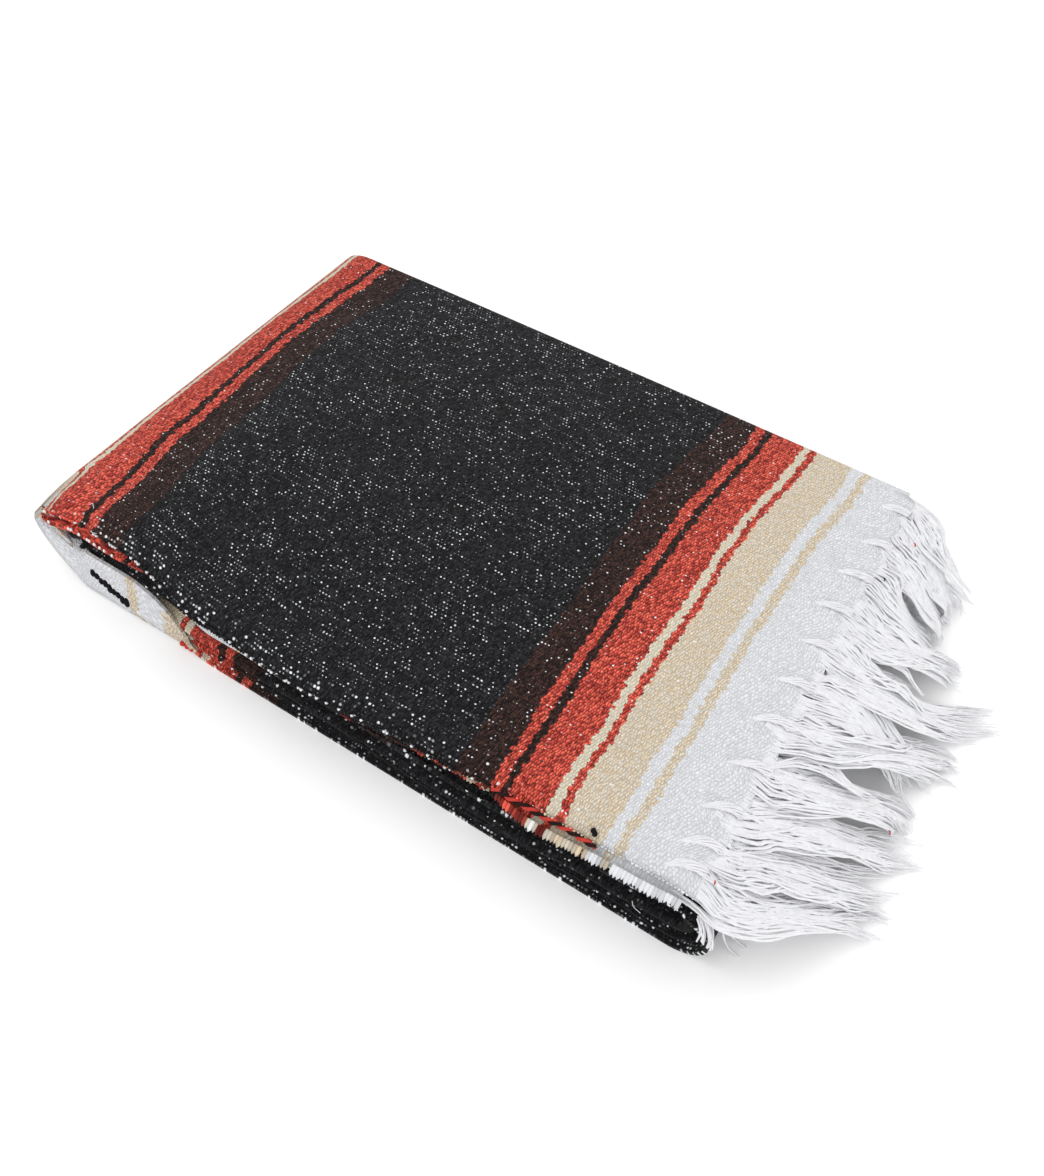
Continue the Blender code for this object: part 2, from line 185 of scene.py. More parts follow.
def ply_point(station, y, plies):
    """Point of the cloth at a station (stretch, place), across at y and some plies deep."""
    stretch, place = station
    level_y = min(y, ROLL_Y)
    if stretch in ("third", "inner left", "fourth"):
        plies = PLIES_PER_SIDE - plies
    if stretch in ("top", "fourth"):
        outer, inner = (place, top_height(place, level_y)), (place, middle_height(place, level_y))
    elif stretch in ("left", "inner left"):
        outer, inner = left_turn(place, level_y), (TURN_X, middle_height(TURN_X, level_y))
    elif stretch in ("floor", "third"):
        low = place <= SHORT_END_X
        reach = middle_height(place, level_y) if low else fold_top(place, level_y)
        outer, inner = (place, 0.0), (place, reach)
    else:
        radius = fold_radius(level_y)
        t = 0.5 + place / math.pi
        under = depth_of(plies, 2.0 * radius)
        over = 2.0 * radius - depth_of(PLIES_PER_SIDE - plies, 2.0 * radius)
        reach = radius - under - (over - under) * t
        x, z = FOLD_X + reach * math.cos(place), radius + reach * math.sin(place)
        return Vector((x, y, z)) - shift
    x, z = between(outer, inner, plies)
    return Vector((x, y, z)) - shift


def spaced(first, last, step):
    count = max(1, round(abs(last - first) / step))
    return [first + (last - first) * i / count for i in range(count + 1)]


NOSE_ARC = 0.105
FINE_STEP = 0.0036


def spiral(start=0, end=7, step=FINE_STEP):
    """Stations along the cloth, from one woven end to the other or part of the way."""
    quarter = math.pi / 2.0
    turn_step = math.pi * step / NOSE_ARC
    stretches = (
        ("top", spaced(WOVEN_END_X, TURN_X, step)),
        ("left", spaced(0.0, math.pi, turn_step)[1:-1]),
        ("floor", spaced(TURN_X, FOLD_X, step)),
        ("right", spaced(-quarter, quarter, step / FOLD_RADII[0])[1:-1]),
        ("third", spaced(FOLD_X, TURN_X, step)),
        ("inner left", spaced(math.pi, 0.0, 3.0 * turn_step)[1:-1]),
        ("fourth", spaced(TURN_X, SHORT_END_X, step)),
    )
    return [(name, place) for name, places in stretches[start:end] for place in places]


print("stations along the whole cloth:", len(spiral()))

# %% [markdown]
# The cloth's own measure.
# Stripes and weave belong to the cloth, not to the room, so every vertex also knows how far
# along the warp it lies from the woven end (s) and how far across from its selvage (w).
# Both go into a UV map named cloth, in metres. The folds of the real blanket are not quite
# square: its lower flap is pulled, so that the stripes come back 46 mm early at the front.

# %% Distance along the warp
LENGTH = 1.825
STRIPE_START = 0.442
FLOOR_START = 0.475
FLOOR_SKEW = 0.046
INNER_SKEW = 0.0455


def bow(x, y):
    """How far the stripes bend towards the fringe near the front and the back."""
    front = smooth((-y - 0.07) / 0.06) * max(0.0, 1.0 - x / 0.30)
    return 0.005 * front + 0.008 * smooth((y - 0.06) / 0.08)


def floor_s(x, y):
    return x + FLOOR_START + FLOOR_SKEW * smooth((y - FRONT_Y) / 0.08)


def warp_s(station, y):
    """Distance along the warp from the woven end on top."""
    stretch, place = station
    if stretch == "top":
        return STRIPE_START - place + bow(place, y)
    if stretch == "left":
        start = STRIPE_START - TURN_X + bow(TURN_X, y)
        return start + (floor_s(TURN_X, y) - start) * place / math.pi
    if stretch == "floor":
        return floor_s(place, y)
    turned = floor_s(FOLD_X, y) + FOLD_RADII[0] * math.pi
    if stretch == "right":
        return floor_s(FOLD_X, y) + FOLD_RADII[0] * (place + math.pi / 2.0)
    if stretch == "third":
        return turned + FOLD_X - place - INNER_SKEW * smooth((0.42 - place) / 0.27)
    if stretch == "fourth":
        return LENGTH - (SHORT_END_X - place)
    inside = turned + FOLD_X - TURN_X - INNER_SKEW
    last = LENGTH - (SHORT_END_X - TURN_X)
    return inside + (last - inside) * (1.0 - place / math.pi)


def selvage_y(station):
    """y of the outermost ply's front edge at a station."""
    stretch, place = station
    if stretch in ("top", "fourth"):
        return top_selvage(place)
    if stretch in ("left", "inner left"):
        t = place / math.pi
        return top_selvage(TURN_X) * (1.0 - t) + FLOOR_FRONT_Y * t
    if stretch == "floor":
        return FLOOR_FRONT_Y
    if stretch == "right":
        return FLOOR_FRONT_Y + 0.004 * (0.5 + place / math.pi)
    return FLOOR_FRONT_Y + 0.006


def weft_w(station, y):
    """Distance across from the selvage, even along the cloth towards its middle."""
    edge = selvage_y(station)
    inside = smooth((y - edge) / 0.10)
    return y - edge * (1.0 - inside) - FRONT_Y * inside


print("cloth length from fringe to fringe, m:", LENGTH)

# %% [markdown]
# The stage.
# The blanket was photographed from above its front right corner on plain white, in soft
# light. The camera stands where that picture was taken. The floor is pale. A large lamp
# stands on the left, a second behind and a low third on the right, and the world fills the
# shadows.

# %% Floor
SIDE = 6.0
bpy.ops.mesh.primitive_plane_add(size=SIDE, location=(0.0, 0.0, 0.0))
floor = bpy.context.object
floor.name = "floor"
paper = bpy.data.materials.new("pale paper")
paper.use_nodes = True
paper_shader = paper.node_tree.nodes["Principled BSDF"]
paper_shader.inputs["Base Color"].default_value = (0.92, 0.92, 0.925, 1.0)
paper_shader.inputs["Roughness"].default_value = 0.9
floor.data.materials.append(paper)
print("floor side, m:", SIDE)

# %% Camera
AZIMUTH = math.radians(32.572)
ELEVATION = math.radians(54.963)
DISTANCE = 0.6932
FOCAL_PIXELS = 1100.0
IMAGE_HEIGHT = 1176.0
target = Vector((0.2708, -0.0277, 0.030)) - shift
outward = Vector(
    (
        math.cos(ELEVATION) * math.sin(AZIMUTH),
        -math.cos(ELEVATION) * math.cos(AZIMUTH),
        math.sin(ELEVATION),
    )
)
lens = bpy.data.cameras.new("camera")
camera = bpy.data.objects.new("camera", lens)
bpy.context.collection.objects.link(camera)
camera.location = target + outward * DISTANCE
camera.rotation_euler = outward.to_track_quat("Z", "Y").to_euler()
lens.sensor_width = 36.0
lens.lens = FOCAL_PIXELS / IMAGE_HEIGHT * lens.sensor_width
lens.clip_start = 0.01
bpy.context.scene.camera = camera
print("camera at", [round(value, 3) for value in camera.location])


# %% Light
def add_lamp(name, place, size, power):
    lamp = bpy.data.lights.new(name, "AREA")
    lamp.shape = "DISK"
    lamp.size = size
    lamp.energy = power
    obj = bpy.data.objects.new(name, lamp)
    bpy.context.collection.objects.link(obj)
    obj.location = place
    obj.rotation_euler = Vector(place).to_track_quat("Z", "Y").to_euler()


add_lamp("key lamp", (-0.9, -0.5, 1.5), 1.2, 5.0)
add_lamp("back lamp", (0.6, 1.3, 1.3), 1.0, 2.5)
add_lamp("side lamp", (1.4, -0.3, 0.55), 0.9, 3.0)
world = bpy.data.worlds.new("studio")
bpy.context.scene.world = world
world.use_nodes = True
sky = world.node_tree.nodes["Background"]
sky.inputs["Color"].default_value = (1.0, 1.0, 1.0, 1.0)
sky.inputs["Strength"].default_value = 1.13
bpy.context.scene.view_settings.view_transform = "Standard"

# %% [markdown]
# Helpers for materials.
# Wiring materials by hand takes many clicks, and in code many lines. A few helpers keep it
# short: plug puts a value or another node's output into a socket, and the others add one
# kind of node each, or a whole group, with its inputs in place.


# %% Helpers for nodes
def plug(tree, value, socket):
    if isinstance(value, bpy.types.NodeSocket):
        tree.links.new(value, socket)
    else:
        socket.default_value = value


def calc(tree, operation, *values):
    node = tree.nodes.new("ShaderNodeMath")
    node.operation = operation
    for value, socket in zip(values, node.inputs):
        plug(tree, value, socket)
    return node.outputs[0]


def vector_calc(tree, operation, *values):
    node = tree.nodes.new("ShaderNodeVectorMath")
    node.operation = operation
    for value, socket in zip(values, node.inputs):
        plug(tree, value, socket)
    measured = operation in ("LENGTH", "DISTANCE", "DOT_PRODUCT")
    return node.outputs["Value" if measured else "Vector"]


def remap(tree, value, low, high, to_low=0.0, to_high=1.0):
    """Smooth step of a value from one range to another."""
    node = tree.nodes.new("ShaderNodeMapRange")
    node.interpolation_type = "SMOOTHSTEP"
    for given, name in ((value, "Value"), (low, "From Min"), (high, "From Max")):
        plug(tree, given, node.inputs[name])
    plug(tree, to_low, node.inputs["To Min"])
    plug(tree, to_high, node.inputs["To Max"])
    return node.outputs["Result"]


def mix_color(tree, share, first, second, blend="MIX"):
    node = tree.nodes.new("ShaderNodeMix")
    node.data_type = "RGBA"
    node.blend_type = blend
    plug(tree, share, node.inputs[0])
    plug(tree, first, node.inputs[6])
    plug(tree, second, node.inputs[7])
    return node.outputs[2]


def noise(tree, place, scale, detail=2.0):
    node = tree.nodes.new("ShaderNodeTexNoise")
    plug(tree, place, node.inputs["Vector"])
    node.inputs["Scale"].default_value = scale
    node.inputs["Detail"].default_value = detail
    return node


def new_group(name, inputs, outputs):
    tree = bpy.data.node_groups.new(name, "ShaderNodeTree")
    for label, kind in inputs:
        tree.interface.new_socket(label, in_out="INPUT", socket_type="NodeSocket" + kind)
    for label, kind in outputs:
        tree.interface.new_socket(label, in_out="OUTPUT", socket_type="NodeSocket" + kind)
    ends = tree.nodes.new("NodeGroupInput"), tree.nodes.new("NodeGroupOutput")
    return tree, ends[0].outputs, ends[1].inputs


def use_group(tree, group, **values):
    node = tree.nodes.new("ShaderNodeGroup")
    node.node_tree = group
    for name, value in values.items():
        plug(tree, value, node.inputs[name.replace("_", " ")])
    return node.outputs


print("helpers ready")

# %% [markdown]
# The weave.
# It is weft-faced: thick soft wefts are beaten over thin white warps, each over one and
# under one, so the surface is a brick-like lattice of short floats with a pit between them.
# The first group finds the nearest point of such a lattice. The weave group uses it twice,
# once for the floats and once for the pits where the white warp peeps through. The pits
# have a lattice of their own, which wobbles less, because warps are straighter than wefts.
# Each float also strays and leans a little, so that no ruled lines show.

# %% Nearest point of a brick lattice
PICK = 0.0008
WARP = 0.0023
FLOAT_CELL = (2.0 * PICK, 2.0 * WARP, 0.0)
PIT_CELL = (3.0 * PICK, 2.0 * WARP, 0.0)

nearest, given, result = new_group(
    "nearest crossing",
    [("Place", "Vector"), ("Cell", "Vector")],
    [("Centre", "Vector"), ("Offset", "Vector")],
)
even = vector_calc(
    nearest, "FLOOR", vector_calc(nearest, "ADD", given["Place"], (0.5, 0.5, 0.0))
)
odd = vector_calc(nearest, "ADD", vector_calc(nearest, "FLOOR", given["Place"]), (0.5, 0.5, 0.0))
spans = [vector_calc(nearest, "SUBTRACT", given["Place"], centre) for centre in (even, odd)]
reaches = [
    vector_calc(nearest, "LENGTH", vector_calc(nearest, "MULTIPLY", span, given["Cell"]))
    for span in spans
]
closer = calc(nearest, "LESS_THAN", reaches[1], reaches[0])
for first, second, name in ((even, odd, "Centre"), (spans[0], spans[1], "Offset")):
    change = vector_calc(nearest, "SUBTRACT", second, first)
    scaled = nearest.nodes.new("ShaderNodeVectorMath")
    scaled.operation = "SCALE"
    plug(nearest, change, scaled.inputs[0])
    plug(nearest, closer, scaled.inputs["Scale"])
    plug(nearest, vector_calc(nearest, "ADD", first, scaled.outputs[0]), result[name])
print("picks for each cm:", round(0.01 / PICK, 1), "warps for each cm:", round(0.01 / WARP, 1))

# %% Weave
# Noise that shifts the weave: scale, reach along the warp and across
WOBBLES = ((420.0, (0.0016, 0.0026, 0.0)), (25.0, (0.0050, 0.0012, 0.0)))
PIT_WOBBLE = (0.3, 0.3, 0.3)
FLOAT_STRAY = (0.0006, 0.0016, 0.0)
FLOAT_SLANT = 0.16
FLOAT_REACH = (0.00085, 0.0018)

weave, given, result = new_group(
    "weft faced weave",
    [("Place", "Vector")],
    [
        ("Float place", "Vector"),
        ("Height", "Float"),
        ("Tone", "Float"),
        ("Pit distance", "Float"),
        ("Pit chance", "Float"),
        ("Pit light", "Float"),
    ],
)
wobbles = [given["Place"]]
for scale, reach in WOBBLES:
    sway = noise(weave, given["Place"], scale, 1.0).outputs["Color"]
    sway = vector_calc(weave, "SUBTRACT", sway, (0.5, 0.5, 0.5))
    wobbles.append(vector_calc(weave, "MULTIPLY", sway, reach))
pit_place = vector_calc(weave, "ADD", wobbles[0], wobbles[2])
place = vector_calc(weave, "ADD", pit_place, wobbles[1])
tremble = vector_calc(weave, "MULTIPLY", wobbles[1], PIT_WOBBLE)
pit_place = vector_calc(weave, "ADD", pit_place, tremble)
lattices = []
for at, cell in ((place, FLOAT_CELL), (pit_place, PIT_CELL)):
    at = vector_calc(weave, "MULTIPLY", at, (1.0, 1.0, 0.0))
    lattices.append(vector_calc(weave, "DIVIDE", at, (cell[0], cell[1], 1.0)))
floats = use_group(weave, nearest, Place=lattices[0], Cell=FLOAT_CELL)
pits = use_group(weave, nearest, Place=lattices[1], Cell=PIT_CELL)
chances = []
for centre in (floats["Centre"], pits["Centre"]):
    dice = weave.nodes.new("ShaderNodeTexWhiteNoise")
    dice.noise_dimensions = "2D"
    plug(weave, centre, dice.inputs["Vector"])
    chances.append(dice)
stray = vector_calc(weave, "SUBTRACT", chances[0].outputs["Color"], (0.5, 0.5, 0.5))
stray = vector_calc(weave, "MULTIPLY", stray, FLOAT_STRAY)
span = vector_calc(weave, "MULTIPLY", floats["Offset"], FLOAT_CELL)
turned = weave.nodes.new("ShaderNodeSeparateXYZ")
plug(weave, vector_calc(weave, "ADD", span, stray), turned.inputs[0])
slant = calc(weave, "MULTIPLY_ADD", turned.outputs["Y"], FLOAT_SLANT, turned.outputs["X"])
float_span = weave.nodes.new("ShaderNodeCombineXYZ")
plug(weave, calc(weave, "DIVIDE", slant, FLOAT_REACH[0]), float_span.inputs["X"])
plug(weave, calc(weave, "DIVIDE", turned.outputs["Y"], FLOAT_REACH[1]), float_span.inputs["Y"])
reach = vector_calc(weave, "LENGTH", float_span.outputs[0])
plug(weave, remap(weave, reach, 0.0, 1.1, 1.0, 0.0), result["Height"])
float_place = vector_calc(weave, "MULTIPLY", floats["Centre"], FLOAT_CELL)
plug(weave, float_place, result["Float place"])
plug(weave, chances[0].outputs["Value"], result["Tone"])
plug(weave, chances[1].outputs["Value"], result["Pit chance"])
light = weave.nodes.new("ShaderNodeSeparateColor")
plug(weave, chances[1].outputs["Color"], light.inputs[0])
plug(weave, light.outputs["Green"], result["Pit light"])
pit_span = vector_calc(weave, "MULTIPLY", pits["Offset"], (0.8 * PIT_CELL[0], PIT_CELL[1], 0.0))
plug(weave, vector_calc(weave, "LENGTH", pit_span), result["Pit distance"])
print("weave group:", len(weave.nodes), "nodes")

# %% [markdown]
# The stripes.
# One list of ten stripes makes the whole pattern. It runs from a white middle out to brown
# and then to the black ground. At each woven end the cloth shows the list once, and further
# in it shows it twice, mirrored about the white, so the distance to the nearest middle
# looks up the colour. A ramp with constant steps holds the list, and its alpha holds how
# often the white warp shows in that stripe.

# %% Stripe list
GROUP_MIDDLE = 0.524  # from the woven end to the white middle of the mirrored stripes
RAMP_SPAN = 0.20
# The teeth of a stripe's edge: half their pitch across, and their slope
TOOTH_PITCH = 0.0035
TOOTH_SLOPE = 0.40


def srgb(red, green, blue):
    """Linear colour from the 0 to 255 values of a colour picker."""
    light = [value / 255.0 for value in (red, green, blue)]
    return [v / 12.92 if v < 0.04045 else ((v + 0.055) / 1.055) ** 2.4 for v in light]


# Yarns: main colour, colour of its odd fibres, share of pits where the warp shows
YARNS = {
    "white": (srgb(220, 221, 224), srgb(210, 211, 215), 0.0),
    "tan": (srgb(223, 213, 196), srgb(203, 184, 156), 0.05),
    "cream": (srgb(222, 215, 197), srgb(206, 193, 168), 0.0),
    "red": (srgb(204, 71, 61), srgb(214, 95, 76), 0.12),
    "dark": (srgb(44, 29, 27), srgb(60, 39, 33), 0.12),
    "brown": (srgb(46, 31, 29), srgb(65, 42, 36), 0.26),
    "black": (srgb(26, 26, 29), srgb(39, 39, 42), 0.40),
}
# Stripes from the white middle outwards: yarn, width
STRIPES = (
    ("white", 0.0260),
    ("tan", 0.0055),
    ("white", 0.0070),
    ("tan", 0.0250),
    ("red", 0.0050),
    ("cream", 0.0055),
    ("red", 0.0225),
    ("dark", 0.0050),
    ("red", 0.0065),
    ("brown", 0.0230),
    ("black", 0.1000),
)


def stripe_ramp(tree, column, distance):
    node = tree.nodes.new("ShaderNodeValToRGB")
    ramp = node.color_ramp
    ramp.interpolation = "CONSTANT"
    start = 0.0
    for index, (yarn, width) in enumerate(STRIPES):
        stop = ramp.elements[0] if index == 0 else ramp.elements.new(start / RAMP_SPAN)
        stop.color = (*YARNS[yarn][column], YARNS[yarn][2])
        start += width
    ramp.elements.remove(ramp.elements[-1])
    plug(tree, distance, node.inputs["Fac"])
    return node.outputs


stripes, given, result = new_group(
    "falsa stripes",
    [("Place", "Vector")],
    [("Yarn", "Color"), ("Odd fibre", "Color"), ("Warp share", "Float")],
)
split = stripes.nodes.new("ShaderNodeSeparateXYZ")
plug(stripes, given["Place"], split.inputs[0])
wander = noise(stripes, given["Place"], 14.0, 1.0).outputs["Fac"]
wander = calc(stripes, "MULTIPLY", calc(stripes, "SUBTRACT", wander, 0.5), 0.005)
uneven = noise(stripes, given["Place"], 70.0, 1.0).outputs["Fac"]
teeth = calc(stripes, "MULTIPLY_ADD", uneven, 0.012, split.outputs["Y"])
teeth = calc(stripes, "PINGPONG", teeth, TOOTH_PITCH)
teeth = calc(stripes, "MULTIPLY_ADD", teeth, TOOTH_SLOPE, wander)
along = calc(stripes, "ADD", split.outputs["X"], teeth)
along = calc(stripes, "SUBTRACT", along, TOOTH_SLOPE * TOOTH_PITCH / 2.0)
to_end = calc(stripes, "MINIMUM", along, calc(stripes, "SUBTRACT", LENGTH, along))
to_group = calc(stripes, "ABSOLUTE", calc(stripes, "SUBTRACT", to_end, GROUP_MIDDLE))
distance = calc(stripes, "DIVIDE", calc(stripes, "MINIMUM", to_end, to_group), RAMP_SPAN)
yarn = stripe_ramp(stripes, 0, distance)
plug(stripes, yarn["Color"], result["Yarn"])
plug(stripes, yarn["Alpha"], result["Warp share"])
plug(stripes, stripe_ramp(stripes, 1, distance)["Color"], result["Odd fibre"])
print("stripes in a group, each way:", len(STRIPES) - 1)

# %% [markdown]
# The cloth's material.
# A float takes the colour of the stripe at its own centre, so the stripes get the stepped
# edges of a real weave. Each yarn is heathered with odd fibres, streaked along the weft.
# The pits get painted shade, darkest in dark wool and lightest in white wool, and each float
# has a tone of its own. Some pits show the white warp, in short rows along it. A bump lifts
# the floats, and a second, finer noise roughens them like carded wool. Wool is matt, with a
# faint sheen from its nap.

# %% Cloth material
# Painted shade in the pits of dark, pale and white wool: the colour there is multiplied by these
PAINTED_SHADE_DARK = 0.24
PAINTED_SHADE_PALE = 0.58
PAINTED_SHADE_WHITE = 0.79
# How far the floats differ in tone, in dark and in pale wool
DARK_SPREAD = 0.86
PALE_SPREAD = 0.22
SPECK_SIZES = (0.00026, 0.00064)
SPECK_COLOR = (*srgb(235, 238, 240), 1.0)


def make_cloth(name, edge, warp_shows):
    """Striped wool; edge 1 has large specks, as at a selvage, None goes by the place across."""
    material = bpy.data.materials.new(name)
    material.use_nodes = True
    tree = material.node_tree
    shader = tree.nodes["Principled BSDF"]
    uv = tree.nodes.new("ShaderNodeUVMap")
    uv.uv_map = "cloth"
    place = uv.outputs["UV"]
    woven = use_group(tree, weave, Place=place)
    stripe = use_group(tree, stripes, Place=woven["Float place"])
    streaks = noise(tree, vector_calc(tree, "MULTIPLY", place, (1.0, 0.20, 0.0)), 1300.0, 3.0)
    heather = calc(tree, "MULTIPLY_ADD", woven["Tone"], 0.3, streaks.outputs["Fac"])
    heather = remap(tree, heather, 0.48, 0.85)
    color = mix_color(tree, heather, stripe["Yarn"], stripe["Odd fibre"])
    gray_value = tree.nodes.new("ShaderNodeRGBToBW")
    plug(tree, stripe["Yarn"], gray_value.inputs[0])
    pale = remap(tree, gray_value.outputs[0], 0.10, 0.70)
    if edge is None:
        across = tree.nodes.new("ShaderNodeSeparateXYZ")
        plug(tree, place, across.inputs[0])
        edge = remap(tree, across.outputs["Y"], 0.004, 0.018, 1.0, 0.0)
    # Painted shade: the colour darkens from each float's crown into the pits, times the float's
    # tone
    whitest = remap(tree, gray_value.outputs[0], 0.62, 0.76)
    pit_painted_shade = calc(tree, "MULTIPLY_ADD", pale, PAINTED_SHADE_PALE - PAINTED_SHADE_DARK, PAINTED_SHADE_DARK)
    pit_painted_shade = calc(tree, "MULTIPLY_ADD", whitest, PAINTED_SHADE_WHITE - PAINTED_SHADE_PALE, pit_painted_shade)
    shade = remap(tree, woven["Height"], 0.0, 0.75, pit_painted_shade, 1.0)
    spread = calc(tree, "MULTIPLY_ADD", pale, PALE_SPREAD - DARK_SPREAD, DARK_SPREAD)
    tone = calc(tree, "MULTIPLY_ADD", calc(tree, "SUBTRACT", woven["Tone"], 0.45), spread, 1.0)
    shade = calc(tree, "MULTIPLY", shade, tone)
    # The painted shade and tone, made a gray that multiplies the colour
    gray = tree.nodes.new("ShaderNodeCombineColor")
    for socket in gray.inputs:
        plug(tree, shade, socket)
    color = mix_color(tree, 1.0, color, gray.outputs[0], "MULTIPLY")
    patches = noise(tree, place, 22.0, 2.0).outputs["Fac"]
    runs = noise(tree, vector_calc(tree, "MULTIPLY", place, (70.0, 420.0, 0.0)), 1.0, 1.0)
    share = calc(tree, "MULTIPLY", stripe["Warp share"], remap(tree, patches, 0.3, 0.7, 0.6, 1.4))
    share = calc(tree, "MULTIPLY", share, remap(tree, runs.outputs["Fac"], 0.42, 0.66, 0.35, 1.8))
    extra = calc(tree, "MULTIPLY", edge, calc(tree, "MULTIPLY_ADD", pale, -0.08, 0.08))
    share = calc(tree, "MULTIPLY", calc(tree, "ADD", share, extra), warp_shows)
    lowest = calc(tree, "SUBTRACT", 1.0, share)
    size = remap(tree, woven["Pit chance"], lowest, 1.0, *SPECK_SIZES)
    size = calc(tree, "MULTIPLY", size, calc(tree, "MULTIPLY_ADD", edge, 0.55, 1.0))
    core = calc(tree, "MULTIPLY", size, 0.45)
    fleck = remap(tree, woven["Pit distance"], core, size, 1.0, 0.0)
    fleck = calc(tree, "MULTIPLY", fleck, calc(tree, "GREATER_THAN", woven["Pit chance"], lowest))
    glow = calc(tree, "POWER", woven["Pit light"], 2.2)
    fleck = calc(tree, "MULTIPLY", fleck, remap(tree, glow, 0.0, 0.6, 0.12, 1.0))
    color = mix_color(tree, fleck, color, SPECK_COLOR)
    plug(tree, color, shader.inputs["Base Color"])
    fibres = noise(tree, place, 2600.0, 3.0).outputs["Fac"]
    height = calc(tree, "MULTIPLY_ADD", fibres, 0.30, woven["Height"])
    bump = tree.nodes.new("ShaderNodeBump")
    bump.inputs["Distance"].default_value = 0.0007
    bump.inputs["Strength"].default_value = 0.8
    plug(tree, height, bump.inputs["Height"])
    plug(tree, bump.outputs[0], shader.inputs["Normal"])
    plug(tree, remap(tree, fibres, 0.2, 0.8, 0.84, 1.0), shader.inputs["Roughness"])
    shader.inputs["Specular IOR Level"].default_value = 0.10
    shader.inputs["Sheen Weight"].default_value = 0.04
    shader.inputs["Sheen Roughness"].default_value = 0.6
    return material


cloth = make_cloth("striped wool", None, 1.0)
edge_cloth = make_cloth("striped wool at the edges", 1.0, 0.5)
rib_cloth = make_cloth("striped wool of the ribs", 0.0, 0.0)
print("cloth material:", len(cloth.node_tree.nodes), "nodes")

# %% [markdown]
# The yarn's material.
# The warp is white cotton, smoother than the wool. Clumps of fibre tint it a little, and a
# darker painted shade lies in the hollows of its fibres. Its nap gives it a sheen. It comes
# before the sheets, because some ribs of their selvages show it bare, and the fringe is made
# of it.


# %% Fringe yarn material
def make_yarn(name, color, painted_shade_and_clump_tint):
    material = bpy.data.materials.new(name)
    material.use_nodes = True
    tree = material.node_tree
    shader = tree.nodes["Principled BSDF"]
    place = tree.nodes.new("ShaderNodeTexCoord").outputs["Object"]
    clumps = noise(tree, place, 260.0, 2.0).outputs["Fac"]
    fibres = noise(tree, place, 2400.0, 3.0).outputs["Fac"]
    mixed = calc(tree, "MULTIPLY_ADD", fibres, 0.5, clumps)
    # Painted shade: the darker colour goes into the hollows of the fibre bump, and with the clumps
    tint = mix_color(tree, remap(tree, mixed, 0.5, 1.0), (*painted_shade_and_clump_tint, 1.0), (*color, 1.0))
    plug(tree, tint, shader.inputs["Base Color"])
    bump = tree.nodes.new("ShaderNodeBump")
    bump.inputs["Distance"].default_value = 0.0003
    plug(tree, fibres, bump.inputs["Height"])
    plug(tree, bump.outputs[0], shader.inputs["Normal"])
    shader.inputs["Roughness"].default_value = 0.95
    shader.inputs["Specular IOR Level"].default_value = 0.2
    shader.inputs["Sheen Weight"].default_value = 0.6
    shader.inputs["Sheen Roughness"].default_value = 0.7
    return material


# The second colour is painted shade in the fibres' hollows, and the clumps' tint
fringe_yarn = make_yarn("white cotton", srgb(229, 229, 232), srgb(220, 220, 224))
print("yarn material:", len(fringe_yarn.node_tree.nodes), "nodes")

# %% [markdown]
# The sheets.
# Each ply starts as a flat grid, the way it would be cut, with a row of vertices for every
# station of the spiral. Every vertex is then moved to its place in the fold, and a Solidify
# modifier gives the cloth its thickness. A simulation would crumple sixteen plies in ways
# that are hard to steer, so the folds are placed by rule and the soft creases one by one.


# %% A sheet laid in the fold
def write_cuts(mesh, cuts):
    """Write each vertex's (s, w) into the UV map named cloth."""
    layer = mesh.uv_layers.new(name="cloth")
    corners = np.empty(len(mesh.loops), int)
    mesh.loops.foreach_get("vertex_index", corners)
    layer.uv.foreach_set("vector", cuts[corners].ravel())


def lay_sheet(name, stations, across, point_at, thickness=WALL, offset=-1.0, shift_w=0.0):
    """Grid of stations by places across; point_at(station, place) gives (point, s, w)."""
    rows, columns = len(stations), len(across)
    bpy.ops.mesh.primitive_grid_add(
        x_subdivisions=columns - 1, y_subdivisions=rows - 1, size=2.0, calc_uvs=False
    )
    obj = bpy.context.object
    obj.name = name
    mesh = obj.data
    mesh.name = name
    flat = np.empty(len(mesh.vertices) * 3)
    mesh.vertices.foreach_get("co", flat)
    flat = flat.reshape(-1, 3)
    column = np.rint((flat[:, 0] + 1.0) / 2.0 * (columns - 1)).astype(int)
    row = np.rint((flat[:, 1] + 1.0) / 2.0 * (rows - 1)).astype(int)
    places = np.empty((rows, columns, 3))
    cuts = np.empty((rows, columns, 2))
    for i, station in enumerate(stations):
        for j, at in enumerate(across):
            point, s, w = point_at(station, at)
            places[i, j] = point
            cuts[i, j] = (s, w + shift_w)
    mesh.vertices.foreach_set("co", places[row, column].ravel())
    write_cuts(mesh, cuts[row, column])
    mesh.update()
    wall = obj.modifiers.new("wall", "SOLIDIFY")
    wall.thickness = thickness
    wall.offset = offset
    bpy.ops.object.modifier_apply(modifier=wall.name)
    bpy.ops.object.shade_smooth_by_angle(angle=math.radians(50))
    mesh.materials.append(cloth if name == "outer_cloth" else edge_cloth)
    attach(obj, "root")
    obj.select_set(False)
    print(name, "faces:", len(mesh.polygons))
    return obj


def sheet_cut(stations, across, point_at):
    """Width and length of the cut that a laid sheet covers."""
    middle = stations[len(stations) // 2]
    line = [Vector(point_at(middle, at)[0]) for at in across]
    width = sum((b - a).length for a, b in zip(line, line[1:]))
    at = across[len(across) // 2]
    line = [Vector(point_at(station, at)[0]) for station in stations]
    length = sum((b - a).length for a, b in zip(line, line[1:]))
    return round(width, 3), round(length, 3)


print("wall of a sheet, mm:", WALL * 1000)
